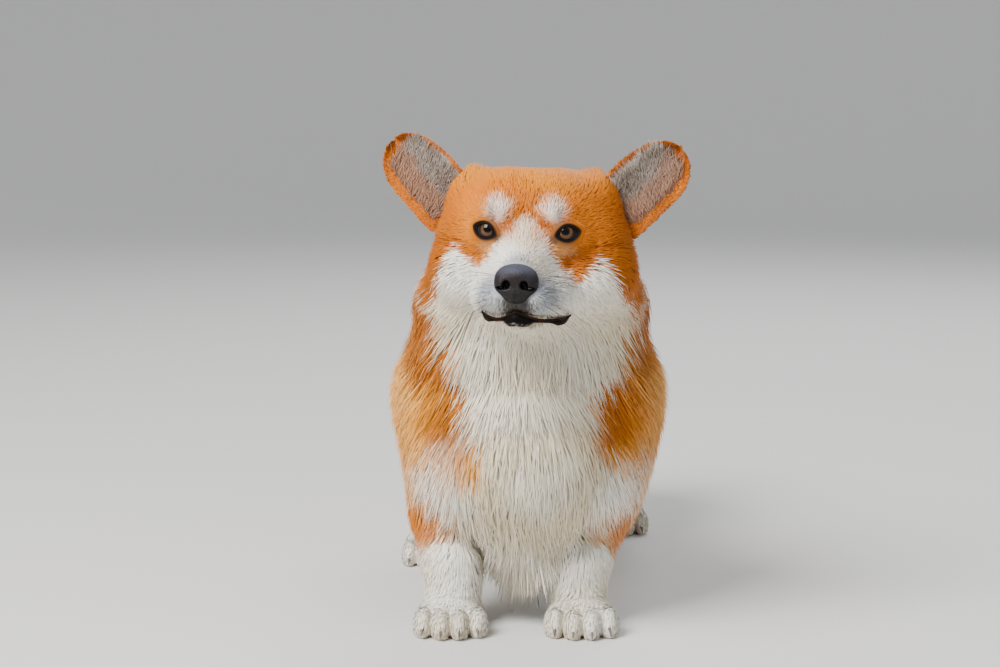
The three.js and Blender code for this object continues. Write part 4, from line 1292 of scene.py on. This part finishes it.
def tube(points, radii, sides=8, closed=False):
    """Points and quads of a tube along a line, with its ends drawn to a point."""
    points = np.asarray(points, float)
    radii = np.broadcast_to(radii, len(points))
    if closed:
        ahead = unit(np.roll(points, -1, axis=0) - np.roll(points, 1, axis=0))
    else:
        ahead = unit(np.gradient(points, axis=0))
    aside = unit(np.cross(ahead, (0.05, 0.1, 1.0)))
    up = np.cross(aside, ahead)
    angle = np.arange(sides) * 2 * math.pi / sides
    ring = np.cos(angle)[None, :, None] * aside[:, None] + np.sin(angle)[None, :, None] * up[:, None]
    rings = points[:, None] + ring * radii[:, None, None]
    return rings.reshape(-1, 3), band_quads(len(points), sides, closed)[:, INSIDE_OUT]


def joined(pieces):
    points, faces, start = [], [], 0
    for some_points, some_faces in pieces:
        points.append(some_points)
        faces.append(some_faces + start)
        start += len(some_points)
    return np.concatenate(points), np.concatenate(faces)


# Eyes: pupil, iris, dark border and white in one ball with a clear coat, inside black lid rims

GAZE = unit(np.array([0.03, -0.985, 0.15]))
PUPIL, IRIS, BORDER = 3.4, 6.2, 7.2
AMBER = np.array([0.12, 0.060, 0.026])
DARK_AMBER = np.array([0.035, 0.015, 0.006])
EYE_WHITE = np.array([0.035, 0.025, 0.021])


def eyeball(side):
    rows, columns = 48, 64
    angle = np.linspace(0.002, math.pi - 0.002, rows)[:, None]
    turn = np.linspace(0, 2 * math.pi, columns, endpoint=False)[None, :]
    out = unit(GAZE + (side * 0.05, 0, 0))
    aside = unit(np.cross(out, (0, 0, 1.0)))
    up = np.cross(aside, out)
    ring = np.cos(turn)[..., None] * aside + np.sin(turn)[..., None] * up
    way = np.cos(angle)[..., None] * out + np.sin(angle)[..., None] * ring
    reach = (EYE_RADIUS * np.sin(angle) + 0 * turn).ravel()
    front = (np.cos(angle) + 0 * turn).ravel() > 0
    bulge = 0.5 * fall(reach, 3, BORDER) * front
    points = eye_centre(side) + way.reshape(-1, 3) * (EYE_RADIUS - 0.25 + bulge)[:, None]
    spokes = 0.5 + 0.5 * np.sin(23 * turn + 3 * np.sin(5 * turn)) + 0 * angle
    edge = 0.2 + 0.25 * spokes.ravel() + 0.5 * smooth(reach, IRIS - 1.6, IRIS)
    colours = over(filled(AMBER, points), DARK_AMBER, edge)
    # painted shadow of the upper lid darkens the iris's upper half
    height = (np.sin(turn) + 0 * angle).ravel() * reach
    colours = over(colours, DARK_AMBER * 0.5, 0.8 * smooth(height, -0.5, 4.5))
    colours = over(colours, BLACK * 0.5, fall(reach, PUPIL - 0.4, PUPIL + 0.4))
    colours = over(colours, BLACK, smooth(reach, IRIS - 0.5, IRIS + 0.3))
    colours = over(colours, EYE_WHITE, smooth(reach, BORDER - 0.4, BORDER + 0.6))
    colours[~front] = EYE_WHITE
    return from_head(points), band_quads(rows, columns), colours


def lid_rim(side):
    """A tube round the opening on the eyeball, thicker at the corners and above."""
    angle = np.linspace(0, 2 * math.pi, 72, endpoint=False)
    across, up = almond(angle)
    reach = EYE_RADIUS + 0.5
    out = np.sqrt(np.maximum(reach ** 2 - across ** 2 - up ** 2, 4))
    local = vectors(across * side, -out, up)
    points = eye_centre(side) + local @ EYE_TURN[side].T
    radius = 0.7 + 0.3 * np.maximum(np.sin(angle), 0) + 0.3 * np.abs(np.cos(angle)) ** 6
    return tube(points, radius, 8, closed=True)


def lids(side):
    """The lids from the opening's edge out to the skin, with a crease above the upper one."""
    rows, columns = 14, 96
    angle = np.linspace(0, 2 * math.pi, columns, endpoint=False)[None, :]
    out = np.linspace(0, 1, rows)[:, None]
    across, up = almond(angle)
    spread = 1 + 0.95 * out
    across, up = across * spread, up * (spread + 0.12 * out)
    inner = np.sqrt(np.maximum((EYE_RADIUS + 0.4) ** 2 - across ** 2 - up ** 2, 0))
    local = vectors(across * side, -np.maximum(inner, 4), up)
    points = from_head(eye_centre(side) + local.reshape(-1, 3) @ EYE_TURN[side].T)
    above = np.maximum(np.sin(angle), 0)
    crease = np.exp(-((out - 0.52) / 0.07) ** 2) * above
    lift = 0.5 * smooth(out, 0, 0.16) - 1.1 * smooth(out, 0.72, 1) - 0.8 * crease
    level = (lift - 0.35 + 0 * angle).ravel()
    first = slice(0, columns)
    edge = points[first].copy()
    points = settle(closed_skin, points, level, 4)
    points[first] = edge
    corner = np.abs(np.cos(angle)) ** 4
    # black rims along the opening, and painted shade in the crease above the upper lid
    dark = np.maximum(1 - smooth(out - 0.1 * corner, 0.04, 0.27), 0.5 * crease)
    colours = over(markings(points) * 0.7, BLACK, dark.ravel())
    quads = band_quads(rows, columns)
    return points, quads if side > 0 else quads[:, ::-1], colours


for side, name in SIDES:
    points, quads, colours = eyeball(side)
    eye = mesh_object(f"eyeball_{name}", points, quads, eye_material, colours)
    finished(eye, "eye", f"eye_{name}")
    points, quads = lid_rim(side)
    black = filled(BLACK, points)
    rim = mesh_object(f"lid_rim_{name}", from_head(points), quads, lip_material, black)
    finished(rim, "nose_leather")
    points, quads, colours = lids(side)
    finished(mesh_object(f"lids_{name}", points, quads, lip_material, colours), "red_coat")


# Nose leather with its nostrils and the groove below

def nose_level(q):
    q = q - NOSE_CENTRE
    level = blend(
        4,
        ellipsoid((0, 1, 3.5), (16.5, 11, 10.5)),
        *[ellipsoid((side * 8.5, 1.5, -2.5), (8.6, 10.5, 8.4)) for side, _ in SIDES],
        ellipsoid((0, 0, -8.5), (11, 9, 8.5)),
    )(q)
    for side, _ in SIDES:
        hole = blend(
            1.5,
            ellipsoid((side * 6.9, -9.5, -2.2), (3.1, 7, 3.5)),
            ellipsoid((side * 11.8, -7.5, -4.8), (4.6, 6, 1.3)),
        )(q)
        level = -soft_min(-level, hole, 1.2)
    groove = limb((0, -12.0, -3), 0.8, (0, -9.0, -17), 1.2)(q)
    return -soft_min(-level, groove, 1.0)


# painted light: the nose's upward faces are lighter and bluer, as if lit by the sky
NOSE_LIT_TOP = np.array([0.050, 0.053, 0.076])
NOSE_FRONT = np.array([0.010, 0.0065, 0.0075])
NOSE_CELL = 0.85
NOSE_LOW, NOSE_HIGH = NOSE_CENTRE - (21, 16, 21), NOSE_CENTRE + (21, 16, 20)
nose_points, nose_quads = net(nose_level, NOSE_LOW, NOSE_HIGH, NOSE_CELL)
nose_points = settle(nose_level, nose_points, 0, 2)
local = nose_points - NOSE_CENTRE
# painted light on the faces that turn upwards
nose_up = slope(nose_level, nose_points)[0][:, 2]
nose_tint = over(filled(NOSE_FRONT, nose_points), NOSE_LIT_TOP, smooth(nose_up, 0.1, 0.75))
# painted shade under the nose
nose_tint = over(nose_tint, BLACK, 0.6 * smooth(-local[:, 2], 4, 14))
# painted shade inside the nostrils and along the groove below the nose
for side, _ in SIDES:
    nose_tint = dab(nose_tint, local, BLACK * 0.3, 1, (side * 6.9, -7, -2.4), (4, 6, 4.2), 0.3)
    nose_tint = dab(nose_tint, local, BLACK * 0.3, 1, (side * 12, -7, -4.8), (5, 7, 2), 0.3)
nose_tint = dab(nose_tint, local, BLACK * 0.3, 1, (0, -10, -11), (1.3, 6, 8), 0.4)
nose = mesh_object("nose_leather", from_head(nose_points), nose_quads, nose_material, nose_tint)
finished(nose, "nose_leather", "nose")


# Lips: the upper hangs along the flews, the lower shows below it, and between them it is dark

LIP_PINK = np.array([0.30, 0.13, 0.10])
LIP_POINTS, LIP_SIDES = 81, 12


def upper_lip(x, u):
    line = vectors(x, lip_front(x) + 2 + 1.4 * smooth(u, 0.6, 0.9), lip_top(x) + 0.5)
    return line, 0.9 * (1 - 0.7 * smooth(u, 0.85, 1)), BROWN * 0.1


def lower_lip(x, u):
    line = vectors(x, lip_front(x) + 3 + 1.5 * smooth(u, 0, 0.4), lip_bottom(x))
    corner = smooth(u, 0.66, 0.8) * fall(u, 0.86, 1) * np.where(x > 0, 1.4, 0.8)
    radius = 0.8 + 1.3 * fall(u, 0, 0.42) + corner
    return line, radius * (1 - 0.7 * smooth(u, 0.9, 1)), BROWN * 0.12


def mouth_inside(x, u):
    line = vectors(x, lip_front(x) + 4.5, (lip_top(x) + lip_bottom(x)) / 2)
    return line, lip_gaps(u) / 2 + 0.4, BLACK * 0.4


for name, shape in (("upper_lip", upper_lip), ("lower_lip", lower_lip), ("mouth", mouth_inside)):
    x = np.linspace(-LIP_ENDS[-1], LIP_ENDS[1], LIP_POINTS)
    line, radius, colour = shape(x, along_lip(x))
    points, quads = tube(line, radius, LIP_SIDES)
    colours = filled(colour, points)
    if name == "lower_lip":
        u = along_lip(points[:, 0])
        pink = smooth(u, 0.2, 0.4) * fall(u, 0.5, 0.66) * np.where(points[:, 0] < 0, 0.9, 0.4)
        colours = over(colours, LIP_PINK, pink * (0.6 + 0.4 * ripple(points, 2.0)))
        colours = over(colours, SLATE, 0.5 * smooth(ripple(points, 0.8), 0.3, 1) * fall(u, 0.2, 0.5))
    finished(mesh_object(name, from_head(points), quads, lip_material, colours), "nose_leather")


# Whiskers and claws

WHISKER_RADIUS, CLAW_RADIUS = 0.17, 1.6


def whiskers():
    pieces = []
    for side, _ in SIDES:
        for row in range(4):
            for column in range(5):
                root = np.array([side * (15 + 2.6 * row), -96 + 7.0 * column, -36 - 4.0 * row])
                root = settle(face_lumps, root[None], -0.5)[0]
                way = unit(np.array([side * 1.0, 0.35 + 0.12 * column, 0.12 - 0.2 * row]))
                way = unit(way + rng.normal(0, 0.1, 3))
                length = 20 + 7 * column + 6 * rng.random()
                t = np.linspace(0, 1, 8)[:, None]
                line = root + way * length * t + np.array([0, 0.1, -0.28]) * length * t * t
                pieces.append(tube(line, WHISKER_RADIUS * (1 - 0.8 * t[:, 0]), 3))
    return joined(pieces)


def claws():
    pieces = []
    paws = [((side * FORE_PAW_X, FORE_PAW_Y, 0), FORE_PAW_SIZE) for side, _ in SIDES]
    paws += [(HIND_PAWS[side], HIND_PAW_SIZE) for side, _ in SIDES]
    t = np.linspace(0, 1, 6)[:, None]
    for centre, size in paws:
        for toe, place in toe_places(np.array(centre), size, 0.56):
            line = place + np.array([toe * 0.8, -6.5, 0]) * t + np.array([0, 0, -6.5]) * t * t
            pieces.append(tube(line, CLAW_RADIUS * (1 - t[:, 0] ** 1.5) + 0.1, 8))
    return joined(pieces)


points, quads = whiskers()
colours = filled(WHISKER, points)
finished(mesh_object("whiskers", from_head(points), quads, coat_material, colours), "white_coat")
points, quads = claws()
finished(mesh_object("claws", points, quads, claw_material), "nose_leather")

LIMBS = ("ear", "foreleg", "forepaw", "hindleg", "hindpaw", "thigh")
flesh = ["head", "jaw", "neck", "torso_front", "torso_rear", "tail"]
flesh += [f"{part}_{name}" for _, name in SIDES for part in LIMBS]
finished(skin, "red_coat", *flesh)


# Floor and light

def area_light(name, place, size, power, colour=(1, 1, 1), target=(0, 0, 0.22)):
    data = bpy.data.lights.new(name, "AREA")
    data.size = size
    data.energy = power
    data.color = colour
    light = bpy.data.objects.new(name, data)
    light.location = place
    direction = Vector(target) - Vector(place)
    light.rotation_euler = direction.to_track_quat("-Z", "Y").to_euler()
    bpy.context.collection.objects.link(light)


# A round floor that sweeps up far from the dog, so that no horizon shows
FLOOR_START, FLOOR_REACH, FLOOR_SWEEP = 0.0002, 4.0, 4.0
FLOOR_RINGS, FLOOR_SPOKES = 24, 96
bend = np.linspace(0, math.pi / 2, FLOOR_RINGS)
floor_reach = np.concatenate([[FLOOR_START], FLOOR_REACH + FLOOR_SWEEP * np.sin(bend)])
floor_rise = np.concatenate([[0.0], FLOOR_SWEEP * (1 - np.cos(bend))])
spoke = np.linspace(0, 2 * math.pi, FLOOR_SPOKES, endpoint=False)
floor_x, floor_y = floor_reach[:, None] * np.cos(spoke), floor_reach[:, None] * np.sin(spoke)
floor_points = vectors(floor_x, floor_y, floor_rise[:, None]).reshape(-1, 3)
floor_quads = band_quads(FLOOR_RINGS + 1, FLOOR_SPOKES)[:, INSIDE_OUT]
floor_material, _ = new_material("floor", 0.7, (0.72, 0.72, 0.71))
floor = mesh_object("floor", (floor_points - SHIFT) / MM, floor_quads, floor_material)

world = bpy.data.worlds.new("studio")
bpy.context.scene.world = world
world.use_nodes = True
world.node_tree.nodes["Background"].inputs["Color"].default_value = (0.86, 0.89, 0.92, 1)
world.node_tree.nodes["Background"].inputs["Strength"].default_value = 0.5
area_light("key", (-1.6, -2.0, 2.4), 1.6, 230, (1, 0.98, 0.95))
area_light("fill", (2.2, -1.6, 1.3), 2.0, 9)
area_light("back", (0.8, 2.2, 2.2), 1.6, 40)
